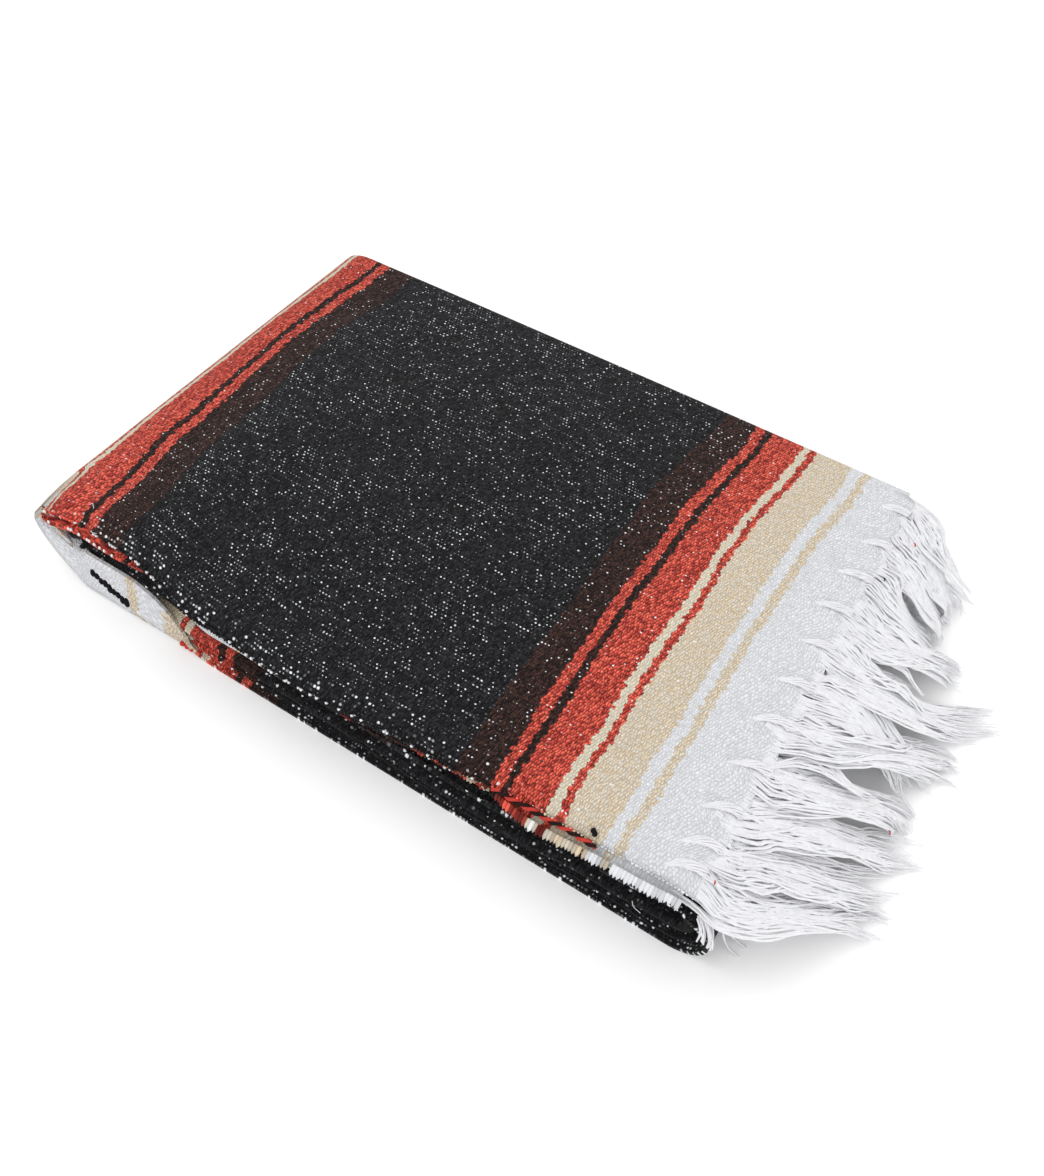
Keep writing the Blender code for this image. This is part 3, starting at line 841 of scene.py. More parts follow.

# %% [markdown]
# The outer ply.
# It is the cloth that the eye meets first: the whole top, the left fold, the underside and
# the right fold. At the back it turns round its neighbours, a fold four plies thick. Soft
# troughs and ridges are placed one by one on the top, uneven in length and depth: a long one
# behind the front edge, slight hollows where the knots pull, and the cloth's own slack.

# %% Creases of the top face
# Creases: x and y of both ends, half width, height (troughs are negative)
CREASES = (
    (0.060, -0.128, 0.200, -0.142, 0.010, -0.0016),
    (0.190, -0.140, 0.340, -0.132, 0.008, -0.0010),
    (0.090, -0.150, 0.260, -0.158, 0.006, 0.0010),
    (0.010, -0.125, 0.060, -0.143, 0.007, 0.0012),
    (0.395, 0.055, 0.440, 0.050, 0.006, -0.0012),
    (0.400, 0.085, 0.442, 0.094, 0.005, -0.0010),
    (0.405, -0.010, 0.442, -0.018, 0.006, -0.0011),
    (0.410, -0.075, 0.444, -0.082, 0.006, -0.0012),
    (0.404, 0.118, 0.440, 0.128, 0.006, -0.0011),
    (0.240, 0.020, 0.330, 0.050, 0.020, -0.0008),
    (0.120, -0.060, 0.210, -0.020, 0.024, 0.0008),
    (0.060, 0.060, 0.150, 0.100, 0.022, -0.0007),
)


def creases(x, y):
    rise = 0.0
    for x0, y0, x1, y1, width, height in CREASES:
        span_x, span_y = x1 - x0, y1 - y0
        t = ((x - x0) * span_x + (y - y0) * span_y) / (span_x**2 + span_y**2)
        off = math.hypot(x - x0 - span_x * t, y - y0 - span_y * t) / width
        ends = smooth(1.3 - 2.6 * abs(t - 0.5))
        if off < 3.0 and ends > 0.0:
            rise += height * ends * math.exp(-off * off)
    return rise


def slack(x, y):
    """Slight waves of cloth that doesn't lie quite flat."""
    rise = math.sin(31.0 * x + 9.0 * y) * math.sin(27.0 * y - 5.0 * x + 0.6)
    return 0.0005 * rise + 0.0003 * math.sin(74.0 * x - 40.0 * y)


print("creases placed by hand:", len(CREASES))

# %% [markdown]
# Near the left fold the front margin of the outer ply turns up and hides the layers behind
# it. It leans in more as it gets narrower, and dies out along the floor. The cloth is drawn
# round the corner there, so the margin's stripes lie ahead of the rest.

# %% Turned-up front margin
MARGIN = 0.034
MARGIN_BEND = 0.003
# Degrees by which the margin turns up, where it is widest and where it dies out
MARGIN_TURNS = (106.0, 128.0)


def curl(station):
    """How far the outer ply's front margin turns up, which it does near the left fold."""
    stretch, place = station
    if stretch in ("left", "inner left"):
        return smooth((place / math.pi - 0.22) / 0.30)
    if stretch in ("floor", "third"):
        return smooth((0.128 - place) / 0.030)
    return 0.0


def margin_of(station):
    """Width of that margin, which runs out along the floor."""
    stretch, place = station
    if stretch in ("floor", "third"):
        return MARGIN * smooth((0.125 - place) / 0.070)
    return MARGIN


# Pull of the stripes along the front margin: place on the left fold and beyond, distance
PULL = ((0.12, 0.0), (0.48, 0.045), (1.0, 0.035), (1.49, 0.020), (2.0, 0.0))


def pulled(station, u):
    """How far the margin's stripes lie ahead, where it is drawn round the left fold."""
    stretch, place = station
    if stretch not in ("left", "floor"):
        return 0.0
    at = place / math.pi if stretch == "left" else 1.0 + (place - TURN_X) / 0.08
    return lookup(PULL, at) * smooth((margin_of(station) + 0.012 - u) / 0.02)


def soft_bend(v):
    """Zero before a bend and v behind it, rounded in between."""
    return 0.5 * (v + math.hypot(v, MARGIN_BEND))


print("front margin, mm:", MARGIN * 1000)

# %% Woven end between the knots
TASSEL_PITCH = 0.0305
FIRST_TASSEL_Y = -0.153


def tongues(x, y):
    """How far the woven end reaches out between the knots, and how far it hangs down."""
    t = (y - FIRST_TASSEL_Y) / TASSEL_PITCH
    bulge = abs(math.sin(math.pi * (t - 0.40))) ** 0.7
    near = smooth((x - 0.420) / 0.030)
    out = near * (0.001 + 0.007 * bulge)
    drop = 0.0022 * smooth((x + out - 0.446) / 0.013) + 0.0012 * near * (1.0 - bulge)
    return out, drop


print("tassels are", TASSEL_PITCH * 1000, "mm apart")

# %% Outer ply
HOOK_STEPS = 12


def across_outer():
    """Places across the outer ply: share of the way from the selvage to the back fold."""
    edge = [0.0, 0.004, 0.008, 0.012, 0.018, 0.024, 0.031, 0.038, 0.046, 0.054, 0.062, 0.071]
    inside = spaced(edge[-1], 1.0, 0.0115)[1:]
    hook = [1.0 + i / HOOK_STEPS for i in range(1, HOOK_STEPS + 1)]
    return edge + inside + hook


def outer_point(station, at):
    """Point, s and w of the outer ply; past 1 the places go round the back fold."""
    edge = selvage_y(station)
    if at <= 1.0:
        margin = margin_of(station)
        widest, dying = MARGIN_TURNS
        turn = curl(station) * math.radians(dying + (widest - dying) * margin / MARGIN)
        u = (ROLL_Y - edge) * at
        bend_y = edge + margin * max(0.0, math.cos(turn))
        rest = (ROLL_Y - bend_y) / (ROLL_Y - edge - margin)
        y = bend_y - math.cos(turn) * soft_bend(margin - u) + rest * soft_bend(u - margin)
        y = max(edge, min(y, ROLL_Y))
        point = ply_point(station, y, 0.0)
        if turn > 0.0:
            inward = (ply_point(station, y, 1.0) - point).normalized()
            near = smooth((margin + 0.006 - u) / 0.009)
            point += inward * math.sin(turn) * soft_bend(margin - u) * near
        if station[0] == "top":
            fade = smooth((0.455 - station[1]) / 0.01) * smooth((ROLL_Y - y) / 0.01)
            point.z += (creases(station[1], y) + slack(station[1], y)) * fade
            out, drop = tongues(station[1], y)
            point += Vector((out, 0.0, -drop))
        s = warp_s(station, y) + pulled(station, u)
        return point, s, u if u < margin else weft_w(station, y)
    flat = station[0] in ("right", "third")
    angle = (at - 1.0) * (0.35 if flat else math.pi)
    y = ROLL_Y + ROLL_DEPTH * math.sin(angle)
    point = ply_point(station, y, 2.0 - 2.0 * math.cos(angle))
    w = weft_w(station, ROLL_Y) + (at - 1.0) * 0.016
    return point, warp_s(station, ROLL_Y), w


def outer_stations():
    back = [("third", x) for x in spaced(FOLD_X, SHORT_END_X, FINE_STEP)]
    return spiral(0, 4) + back


outer_cloth = lay_sheet("outer_cloth", outer_stations(), across_outer(), outer_point)
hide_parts("outer_ply")
outer_cut = sheet_cut(outer_stations(), across_outer(), outer_point)

# %% [markdown]
# The plies inside.
# Between the outer faces lie the other selvage, one ply in, and the fold where the cloth
# was doubled first. Both run along the whole spiral, so each is one long strip, as deep as
# can be seen between its neighbours. Their edges lie unevenly: some stand out, some are
# drawn in, as hand-folded layers do. The second ply and the doubled edge have also slipped,
# so their stripes don't meet the outer ply's. Beside the red and white stripes of the top,
# the second ply hangs out like a comb.


# %% Unevenness of the edges
def waver(s, seed, size):
    """Slow wander of an edge along the cloth."""
    turns = (19.0, 43.0, 97.0)
    shares = (0.5, 0.32, 0.18)
    return size * sum(
        share * math.sin(turn * s + seed * (1.7 + index))
        for index, (turn, share) in enumerate(zip(turns, shares))
    )


STRIP_DEPTH = 0.045
STRIP_PLACES = [0.0, 0.003, 0.007, 0.012, 0.020, 0.030, STRIP_DEPTH]
# Walls of the sheets inside: strips, rounded folds and woven ends
STRIP_WALL = 0.0021
ROUND_WALL = 0.0022
END_WALL = 0.0020
# Shifts across the pattern, so that no two sheets show the same floats and specks
SECOND_W = 0.70
DOUBLED_W = 1.40
INNER_W = 2.0
ROLL_W = 3.0
# How far the strips stand out at the left fold, and how far the comb hangs out
STANDS_OUT = 0.0095
COMB_OUT = 0.0110
# Depths in plies: of the second ply, and of the comb's drop
SECOND_PLIES = 1.10
COMB_DROP = 1.1


def drawn_in(station):
    """How far the layers draw back where the outer margin stands up before them."""
    share = curl(station) * margin_of(station) / MARGIN
    return share * (0.0065 if station[0] in ("left", "floor") else 0.010)


def standing(station):
    """How far the inner layers stand out at the front of the left fold, as a share."""
    stretch, place = station
    share = 1.0 if stretch in ("top", "left") else 0.6
    if stretch in ("top", "fourth"):
        return share * smooth((0.100 - place) / 0.045)
    if stretch in ("left", "inner left"):
        return share * smooth((0.40 - place / math.pi) / 0.25)
    return 0.0


# Slip along the left fold: share of the way round it, distance
SLIPS = ((0.0, 0.004), (0.25, -0.004), (0.6, 0.006), (1.0, 0.018))


def slip(station):
    """How far the second ply's stripes lie ahead of the outer ply's."""
    stretch, place = station
    if stretch == "top":
        near = 0.042 * smooth((0.060 - place) / 0.050) + 0.005
        return 0.047 * smooth((0.33 - place) / 0.30) - near
    return lookup(SLIPS, place / math.pi) if stretch == "left" else SLIPS[-1][1]


def combed(station):
    """How far the second ply hangs out beside the stripes of the top, as a share."""
    stretch, place = station
    return smooth((place - 0.310) / 0.05) if stretch == "top" else 0.0


def no_share(station):
    """For a strip that neither slips nor hangs out."""
    return 0.0


def selvage_strip(inset, plies, seed, slip_of=no_share, comb_of=no_share):
    """Point function of a strip whose selvage lies inset behind the outermost one."""

    def point_at(station, at):
        s = warp_s(station, FRONT_Y)
        uneven = waver(s, seed, 0.0022) * (1.0 - 0.7 * curl(station))
        y = selvage_y(station) + inset + uneven + at + drawn_in(station)
        out = COMB_OUT * comb_of(station) + STANDS_OUT * standing(station)
        y -= out * (1.0 - at / STRIP_DEPTH)
        lift = waver(s, seed + 3.0, 0.12) * smooth(1.0 - at / 0.02)
        lift += COMB_DROP * comb_of(station) * smooth(1.0 - at / 0.012)
        return ply_point(station, y, plies + lift), s + slip_of(station), at

    return point_at


second_at = selvage_strip(0.0045, SECOND_PLIES, 1.0, slip, combed)
second_cloth = lay_sheet(
    "second_cloth", spiral(), STRIP_PLACES, second_at, STRIP_WALL, shift_w=SECOND_W
)
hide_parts("second_ply")

# %% The doubled edge and the inner selvage
FOLD_INSET = 0.006
FOLD_NOSE = 0.0026


def doubled_places():
    """Places round the doubled edge: (distance behind its front, plies deep)."""
    flat = [0.040, 0.028, 0.019, 0.012, 0.007]
    lower = [(at, 2.55) for at in flat]
    upper = [(at, 3.45) for at in reversed(flat)]
    turns = [math.pi * i / 8.0 for i in range(9)]
    nose = [(FOLD_NOSE * (1.0 - math.sin(a)), 3.0 - 0.45 * math.cos(a)) for a in turns]
    return lower + nose + upper


def doubled_at(station, at):
    behind, plies = at
    s = warp_s(station, FRONT_Y)
    front = selvage_y(station) + FOLD_INSET + waver(s, 5.0, 0.0024) + drawn_in(station)
    front -= 0.0060 * standing(station) * (1.0 - behind / 0.040)
    swell = waver(s, 8.0, 0.15)
    w = behind if plies < 3.0 else -behind
    s += slip(station) + 0.022 * standing(station)
    return ply_point(station, front + behind, plies + swell), s, w


doubled_cloth = lay_sheet(
    "doubled_cloth", spiral(), doubled_places(), doubled_at, ROUND_WALL, 0.0, DOUBLED_W
)
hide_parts("hidden_plies")

inner_stations = [("third", x) for x in spaced(SHORT_END_X, TURN_X, FINE_STEP)] + spiral(5, 7)
inner_at = selvage_strip(0.008, 0.2, 11.0)
inner_cloth = lay_sheet(
    "inner_cloth", inner_stations, STRIP_PLACES, inner_at, STRIP_WALL, shift_w=INNER_W
)

# %% [markdown]
# The back.
# Behind, each flap ends in a smooth roll four plies thick, where the cloth was folded the
# second time. The outer ply already makes two of them. This strip makes the other two, a
# little further in.


# %% Inner rolls at the back
def roll_places():
    flat = [0.045, 0.032, 0.022, 0.014, 0.007]
    turns = [math.pi * i / 12.0 for i in range(13)]
    lower = [(-at, 0.06) for at in flat]
    upper = [(-at, 3.9) for at in reversed(flat)]
    bend = [(ROLL_DEPTH * math.sin(a), 1.98 - 1.92 * math.cos(a)) for a in turns]
    return lower + bend + upper


def roll_at(station, at):
    out, plies = at
    s = warp_s(station, FRONT_Y)
    y = ROLL_Y - ROLL_INSET + out + (waver(s, 14.0, 0.0012) if out > 0.0 else 0.0)
    point = ply_point(station, min(y, ROLL_Y), plies)
    point.y = y - shift.y
    return point, s, 0.3 + plies * PLY + out


inner_roll = lay_sheet(
    "inner_roll", inner_stations, roll_places(), roll_at, ROUND_WALL, shift_w=ROLL_W
)

# %% [markdown]
# The woven ends.
# Where the top flap ends, the edges of all its four plies show, white and one under the
# other. The same goes for the end that lies one flap lower. Each ply gets a short sheet
# there, from front to back.


# %% Ends of the other plies
def end_sheet(name, stretch, end_x, reach, plies, seed):
    places = spaced(0.0, 1.0, 0.025)
    stations = [(stretch, x) for x in spaced(end_x, end_x - reach, 0.005)]
    if stretch == "fourth":
        stations = stations[::-1]

    def point_at(station, at):
        low = selvage_y(("top", station[1])) + 0.008
        y = low + (ROLL_Y - 0.004 - low) * at
        drawn = (waver(y, seed, 0.0018) - 0.002) * smooth((station[1] - end_x + 0.02) / 0.02)
        point = ply_point(station, y, plies)
        point.x += drawn
        return point, warp_s(station, y), at * 0.3

    obj = lay_sheet(name, stations, places, point_at, END_WALL, shift_w=seed)
    sheet_cut(stations, places, point_at)


for index, plies in enumerate((1.1, 2.1, 3.1)):
    end_sheet(f"upper_end_{index + 2}", "top", WOVEN_END_X, 0.045, plies, 4.0 + index)
for index, plies in enumerate((0.1, 1.1, 2.1, 3.1)):
    end_sheet(f"lower_end_{index + 1}", "fourth", SHORT_END_X, 0.035, plies, 8.0 + index)

# %% Sheets that the blanket shows
second_cut = sheet_cut(spiral(), STRIP_PLACES, second_at)
doubled_cut = sheet_cut(spiral(), doubled_places(), doubled_at)
inner_cut = sheet_cut(inner_stations, STRIP_PLACES, inner_at)
roll_cut = sheet_cut(inner_stations, roll_places(), roll_at)
print("cuts, m:", outer_cut, second_cut, doubled_cut, inner_cut, roll_cut)

# %% [markdown]
# The selvages.
# At each side of the cloth the weft turns back round the last warp, so the edge is a row of
# small ribs, one for each turn. One rib is modelled as half a ring and then copied along
# the edges. Each copy takes the colour of the weft that turns there, and some show the bare
# white warp, most often along the front of the top. The ribs of the comb are longer and
# wider. There are none round the right fold, and on the outer ply none where its edge lies
# on the floor or turns up.

# %% One rib
RIB_PITCH = 0.0022
# Share of ribs that are bare warp: at the front of the top up to this x, and elsewhere
BARE_UP_TO_X = 0.30
BARE_AT_FRONT = 0.34
BARE_ELSEWHERE = 0.06
GAP_CHANCE = 0.12
bpy.ops.mesh.primitive_torus_add(
    major_segments=10, minor_segments=6, major_radius=0.0007, minor_radius=0.0010
)
ring = bpy.context.object
bpy.ops.object.mode_set(mode="EDIT")
bpy.ops.mesh.select_all(action="SELECT")
bpy.ops.mesh.bisect(plane_co=(0.0, 0.0, 0.0), plane_no=(-1.0, 0.0, 0.0), clear_outer=True)
bpy.ops.object.mode_set(mode="OBJECT")
rib_points = np.array([vert.co for vert in ring.data.vertices])
rib_faces = [list(face.vertices) for face in ring.data.polygons]
bpy.data.objects.remove(ring)
print("faces of a rib:", len(rib_faces))


# %% Ribs along an edge
def rib_edge(name, stations, point_at, shift_w, middle, seed, size_at):
    """Ribs along a selvage, middle deep; size_at gives their (length, width) or width 0."""
    dice = random.Random(seed)
    line = [point_at(station, 0.0) for station in stations]
    inside = [Vector(point_at(station, 0.004)[0]) for station in stations]
    points, faces, cuts, bare = [], [], [], []
    travelled, due = 0.0, 0.0
    for i in range(len(line) - 1):
        start, end = Vector(line[i][0]), Vector(line[i + 1][0])
        step = (end - start).length
        while step > 0.0 and due < travelled + step:
            t = (due - travelled) / step
            out = (start - inside[i]).normalized()
            length, width = size_at(stations[i])
            if width == 0.0 or dice.random() < GAP_CHANCE / length:
                due += RIB_PITCH * dice.uniform(0.5, 1.5)
                continue
            along = (end - start).normalized()
            up = out.cross(along).normalized()
            size = dice.uniform(0.85, 1.15)
            turn = dice.uniform(-0.25, 0.25) / length
            lean = (along * math.cos(turn) + up * math.sin(turn)).normalized()
            rise = out.cross(lean).normalized()
            centre = start.lerp(end, t) - up * middle - out * 0.0006 * length
            axes = np.array([out * size * length, rise * width, lean * size * width])
            points.append(rib_points @ axes + np.array(centre))
            base = (len(points) - 1) * len(rib_points)
            faces += [[base + corner for corner in face] for face in rib_faces]
            front = stations[i][0] == "top" and stations[i][1] < BARE_UP_TO_X
            share = BARE_AT_FRONT if front else BARE_ELSEWHERE
            bare += [int(dice.random() < share)] * len(rib_faces)
            s = line[i][1] + (line[i + 1][1] - line[i][1]) * t
            cuts += [(s, shift_w + 0.0023 * round(dice.uniform(0, 9)))] * len(rib_points)
            due += RIB_PITCH * dice.uniform(0.9, 1.1)
        travelled += step
    mesh = bpy.data.meshes.new(name)
    mesh.from_pydata(np.concatenate(points).tolist(), [], faces)
    write_cuts(mesh, np.array(cuts))
    obj = bpy.data.objects.new(name, mesh)
    bpy.context.collection.objects.link(obj)
    bpy.context.view_layer.objects.active = obj
    obj.select_set(True)
    bpy.ops.object.mode_set(mode="EDIT")
    bpy.ops.mesh.select_all(action="SELECT")
    bpy.ops.mesh.normals_make_consistent(inside=False)
    bpy.ops.object.mode_set(mode="OBJECT")
    bpy.ops.object.shade_smooth()
    obj.select_set(False)
    mesh.materials.append(rib_cloth)
    mesh.materials.append(fringe_yarn)
    mesh.polygons.foreach_set("material_index", bare)
    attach(obj, "root")
    print(name, "ribs:", len(points))
    return obj


RIB_SIZE = 0.8


def outer_ribs(station):
    hidden = station[0] in ("floor", "right") or curl(station) > 0.0
    return RIB_SIZE, 0.0 if hidden else RIB_SIZE


def second_ribs(station):
    """Plain ribs, but long and wide ones where the selvage hangs out like a comb."""
    out = combed(station)
    return RIB_SIZE + 2.5 * out, 0.0 if station[0] == "right" else RIB_SIZE + 0.5 * out


def inner_ribs(station):
    return RIB_SIZE, RIB_SIZE


rib_edge("outer_selvage", outer_stations(), outer_point, 0.0, WALL / 2.0, 1, outer_ribs)
rib_edge("second_selvage", spiral(), second_at, SECOND_W, STRIP_WALL / 2.0, 2, second_ribs)
rib_edge("inner_selvage", inner_stations, inner_at, INNER_W, STRIP_WALL / 2.0, 3, inner_ribs)

# %% [markdown]
# The fringe.
# The warp ends are left long and gathered into eleven tassels, and small ones part from
# them. At every large tassel some yarns are drawn along the woven end into a twisted rope,
# which lies on the cloth like a crescent. Then all fan out, fall over the right fold and lie
# on the floor, in locks that taper and part. The plies below the top have their own yarns.
# Each yarn is a curve with a bevel through a few points, because that is the quickest way to
# bend many thin strands, and the curves are made meshes at the end.


# %% Smooth paths and yarn meshes
def smooth_path(points, count):
    """Points of a Catmull-Rom curve through a few given ones."""
    ends = [points[0] * 2.0 - points[1], *points, points[-1] * 2.0 - points[-2]]
    path = []
    for i in range(count + 1):
        at = (len(points) - 1) * i / count
        k = min(int(at), len(points) - 2)
        t = at - k
        a, b, c, d = ends[k : k + 4]
        path.append(
            0.5 * (2.0 * b + (c - a) * t + (2.0 * a - 5.0 * b + 4.0 * c - d) * t**2
                   + (3.0 * b - a - 3.0 * c + d) * t**3)
        )
    return path


def tapered(line, first, loss):
    """A yarn along a line, which gets thinner from a share of its length on."""
    last = len(line) - 1
    return [
        (point - shift, 1.0 - loss * smooth((i / last - first) / (1.0 - first)))
        for i, point in enumerate(line)
    ]


def yarn_mesh(name, yarns, radius, rounding, material):
    """One mesh of yarns, each a list of (point, thickness); rounding 0 makes them square."""
    curve = bpy.data.curves.new(name, "CURVE")
    curve.dimensions = "3D"
    curve.bevel_depth = radius
    curve.bevel_resolution = rounding
    curve.use_fill_caps = True
    for yarn in yarns:
        spline = curve.splines.new("POLY")
        spline.points.add(len(yarn) - 1)
        spline.points.foreach_set("co", [v for point, _ in yarn for v in (*point, 1.0)])
        spline.points.foreach_set("radius", [size for _, size in yarn])
        spline.use_smooth = True
    obj = bpy.data.objects.new(name, curve)
    bpy.context.collection.objects.link(obj)
    bpy.context.view_layer.objects.active = obj
    obj.select_set(True)
    bpy.ops.object.convert(target="MESH")
    obj = bpy.context.object
    obj.data.materials.clear()
    obj.data.materials.append(material)
    bpy.ops.object.shade_smooth()
    obj.select_set(False)
    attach(obj, "root")
    print(name, "yarns:", len(yarns), "faces:", len(obj.data.polygons))
    return obj


# %% Courses of the tassels
# Eleven tassels from front to back, then five small ones, in millimetres: middle of the
# root, number of locks, then x, y and height of the course from the woven end to the tip
TASSELS = (
    (-143, 6, (462, -148, 53), (480, -145, 50), (504, -124, 32), (529, -102, 9), (553, -94, 2)),
    (-128, 5, (456, -131, 56), (475, -120, 52), (495, -106, 36), (522, -87, 12), (546, -72, 2)),
    (-107, 7, (456, -109, 57), (475, -94, 52), (500, -77, 33), (525, -59, 9), (553, -48, 2)),
    (-77, 7, (454, -83, 58), (476, -72, 53), (502, -53, 32), (526, -35, 9), (541, -36, 2)),
    (-46, 7, (454, -46, 58), (478, -38, 54), (504, -14, 32), (533, 10, 7), (552, 17, 2)),
    (-16, 7, (457, -15, 58), (479, -11, 53), (497, -6, 36), (518, -6, 14), (536, -12, 2)),
    (15, 7, (457, 13, 57), (479, 11, 52), (501, 23, 32), (530, 41, 7), (561, 61, 2)),
    (45, 7, (455, 42, 57), (477, 40, 51), (496, 56, 32), (516, 73, 10), (531, 77, 2)),
    (76, 6, (452, 78, 56), (471, 70, 51), (486, 74, 34), (500, 83, 14), (510, 88, 2)),
    (106, 6, (455, 104, 55), (473, 98, 50), (489, 98, 34), (502, 103, 13), (510, 104, 2)),
    (137, 6, (455, 131, 55), (473, 118, 50), (490, 117, 33), (502, 120, 12), (509, 116, 2)),
    (143, 3, (459, 139, 55), (478, 127, 50), (495, 130, 30), (508, 136, 12), (516, 142, 3)),
    (-38, 2, (458, -34, 58), (486, -25, 50), (510, -2, 25), (517, 12, 12), (522, 22, 3)),
    (-66, 2, (458, -58, 58), (479, -53, 53), (498, -49, 40), (514, -36, 18), (530, -22, 3)),
    (-122, 2, (458, -126, 56), (488, -119, 45), (507, -106, 28), (523, -91, 12), (547, -81, 2)),
    (22, 3, (457, 17, 57), (483, 24, 50), (502, 30, 34), (518, 36, 16), (534, 38, 2)),
)
# Half width of a tassel: share of its course, width
HALF_WIDTHS = ((0.00, 0.0145), (0.20, 0.0118), (0.45, 0.0098), (0.75, 0.0086), (1.00, 0.0070))
SHARES = (0.12, 0.20, 0.28, 0.36, 0.44, 0.52, 0.60, 0.68, 0.76, 0.84, 0.92, 1.0)
YARN_RADIUS = 0.00070
YARNS_PER_LOCK = 6


def course_point(course, share):
    at = max(0.0, share) * (len(course) - 1)
    k = min(int(at), len(course) - 2)
    return course[k].lerp(course[k + 1], at - k)


def fanned(course, share, side, lift):
    """Point beside a tassel's course, in the spiral's own frame."""
    ahead = course_point(course, share + 0.02) - course_point(course, share - 0.02)
    aside = Vector((-ahead.y, ahead.x, 0.0)).normalized()
    point = course_point(course, share) + aside * side
    return Vector((point.x, point.y, max(point.z + lift, 0.0010)))


def rooted(root_y, ply):
    """Two points where a yarn leaves the woven end."""
    x = WOVEN_END_X
    out, drop = tongues(x, root_y)
    depth = 0.0012 + PLY * ply
    inside = Vector((x - 0.006, root_y, top_height(x, root_y) - depth))
    lift = 0.0010 if ply == 0.0 else 0.0004
    return [inside, Vector((x + out - 0.0005, root_y, inside.z - drop + lift))]


def tassel_yarns(tassel, dice, ply, locks, wide):
    """Yarns of one tassel: out of the woven end, and down in locks that taper and part."""
    root, _, *course = tassel
    course = smooth_path([Vector(point) / 1000.0 for point in course], 40)
    yarns = []
    for lock in range(locks):
        aside = ((lock + 0.5) / locks * 2.0 - 1.0) * wide + dice.uniform(-0.12, 0.12)
        reach = dice.uniform(0.66, 1.05)
        wave = dice.uniform(0.0008, 0.0021)
        turns = dice.uniform(1.0, 2.3)
        phase = dice.uniform(0.0, 6.28)
        high = dice.uniform(-0.0006, 0.0026)
        drift = dice.uniform(-0.009, 0.009)
        for yarn in range(YARNS_PER_LOCK):
            off = (yarn + 0.5) / YARNS_PER_LOCK * 2.0 - 1.0 + dice.uniform(-0.3, 0.3)
            up = dice.uniform(-0.0006, 0.0010)
            own = dice.uniform(0.0, 6.28)
            stray = dice.uniform(0.0006, 0.0015) * (2.0 if dice.random() < 0.15 else 1.0)
            end = reach * dice.uniform(0.86, 1.0)
            root_y = root / 1000.0 + aside * 0.0135 + off * 0.0026
            path = rooted(root_y, ply)
            for share in SHARES:
                share *= end
                half = lookup(HALF_WIDTHS, share)
                curl_in = 1.0 - 0.72 * smooth(share / end * 1.05)
                side = aside * half + off * 0.0034 * curl_in + drift * share
                side += wave * math.sin(6.28 * turns * share + phase) * min(1.0, 3.0 * share)
                side += stray * math.sin((15.0 + 8.0 * off) * share + own) * min(1.0, 4.0 * share)
                side += dice.uniform(-0.0005, 0.0005)
                lift = (high + up) * (1.0 - 0.7 * share) - 0.0008 * ply
                path.append(fanned(course, share, side, lift))
            yarns.append(tapered(smooth_path(path, 32), 0.7, 0.65))
    return yarns


print("tassels:", len(TASSELS))

# %% Ropes
ROPE_STRANDS = 9
ROPE_TWIST = 3.4
ROPE_RADIUS = 0.0021
# Spine of a rope: ahead of the woven end, across, height above the cloth
ROPE_STEPS = (
    (-0.0170, -0.0075, -0.0022),
    (-0.0110, -0.0042, -0.0010),
    (-0.0050, -0.0012, 0.0000),
    (0.0015, 0.0004, 0.0000),
    (0.0075, 0.0000, -0.0012),
)


def rope_yarns(tassel, dice):
    """Yarns that lie on the cloth as a twisted rope, then join their tassel."""
    root, _, *course = tassel
    course = smooth_path([Vector(point) / 1000.0 for point in course], 40)
    y = root / 1000.0 + dice.uniform(-0.0015, 0.0015)
    spine = []
    slide = dice.uniform(-0.0030, 0.0020)
    arch = dice.uniform(0.3, 1.4)
    for ahead, across, lift in ROPE_STEPS:
        x = WOVEN_END_X + ahead + slide * (1.0 if ahead < 0.0 else 0.3)
        side = across * arch
        spine.append(Vector((x, y + side, top_height(min(x, WOVEN_END_X), y + side) + lift)))
    spine = smooth_path(spine, 14)
    yarns = []
    for strand in range(ROPE_STRANDS):
        start = 6.28 * strand / ROPE_STRANDS
        path = []
        for i, point in enumerate(spine):
            t = i / (len(spine) - 1)
            ahead = spine[min(i + 1, len(spine) - 1)] - spine[max(i - 1, 0)]
            side = ahead.cross(Vector((0.0, 0.0, 1.0))).normalized()
            up = side.cross(ahead).normalized()
            thick = ROPE_RADIUS * (0.10 + 0.90 * smooth(t / 0.65)) * dice.uniform(0.9, 1.1)
            angle = start + ROPE_TWIST * t
            path.append(
                point + side * math.cos(angle) * thick + up * math.sin(angle) * thick * 0.5
            )
        aside = math.cos(start + ROPE_TWIST)
        end = dice.uniform(0.75, 1.0)
        own = dice.uniform(0.0, 6.28)
        for share in SHARES[1:]:
            spread = aside * (0.0020 + 0.0060 * share) + 0.0012 * math.sin(8.0 * share + own)
            path.append(fanned(course, share * end, spread, 0.0018 * (1.0 - share)))
        yarns.append(tapered(smooth_path(path, 40), 0.8, 0.5))
    return yarns


print("yarns of a rope:", ROPE_STRANDS)

# %% Upper fringe
dice = random.Random(20)
top_yarns = []
under_yarns = []
for tassel in TASSELS:
    top_yarns += tassel_yarns(tassel, dice, 0.0, tassel[1], 1.0)
    if tassel[1] > 3:
        top_yarns += rope_yarns(tassel, dice)
        under_yarns += tassel_yarns(tassel, dice, 1.3, 5, 1.15)
        under_yarns += tassel_yarns(tassel, dice, 2.4, 5, 1.25)
upper_fringe = yarn_mesh(
    "fringe_of_the_top", top_yarns, YARN_RADIUS, 0, fringe_yarn
)
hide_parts("upper_fringe")
yarn_mesh("fringe_below_the_top", under_yarns, YARN_RADIUS, 0, fringe_yarn)


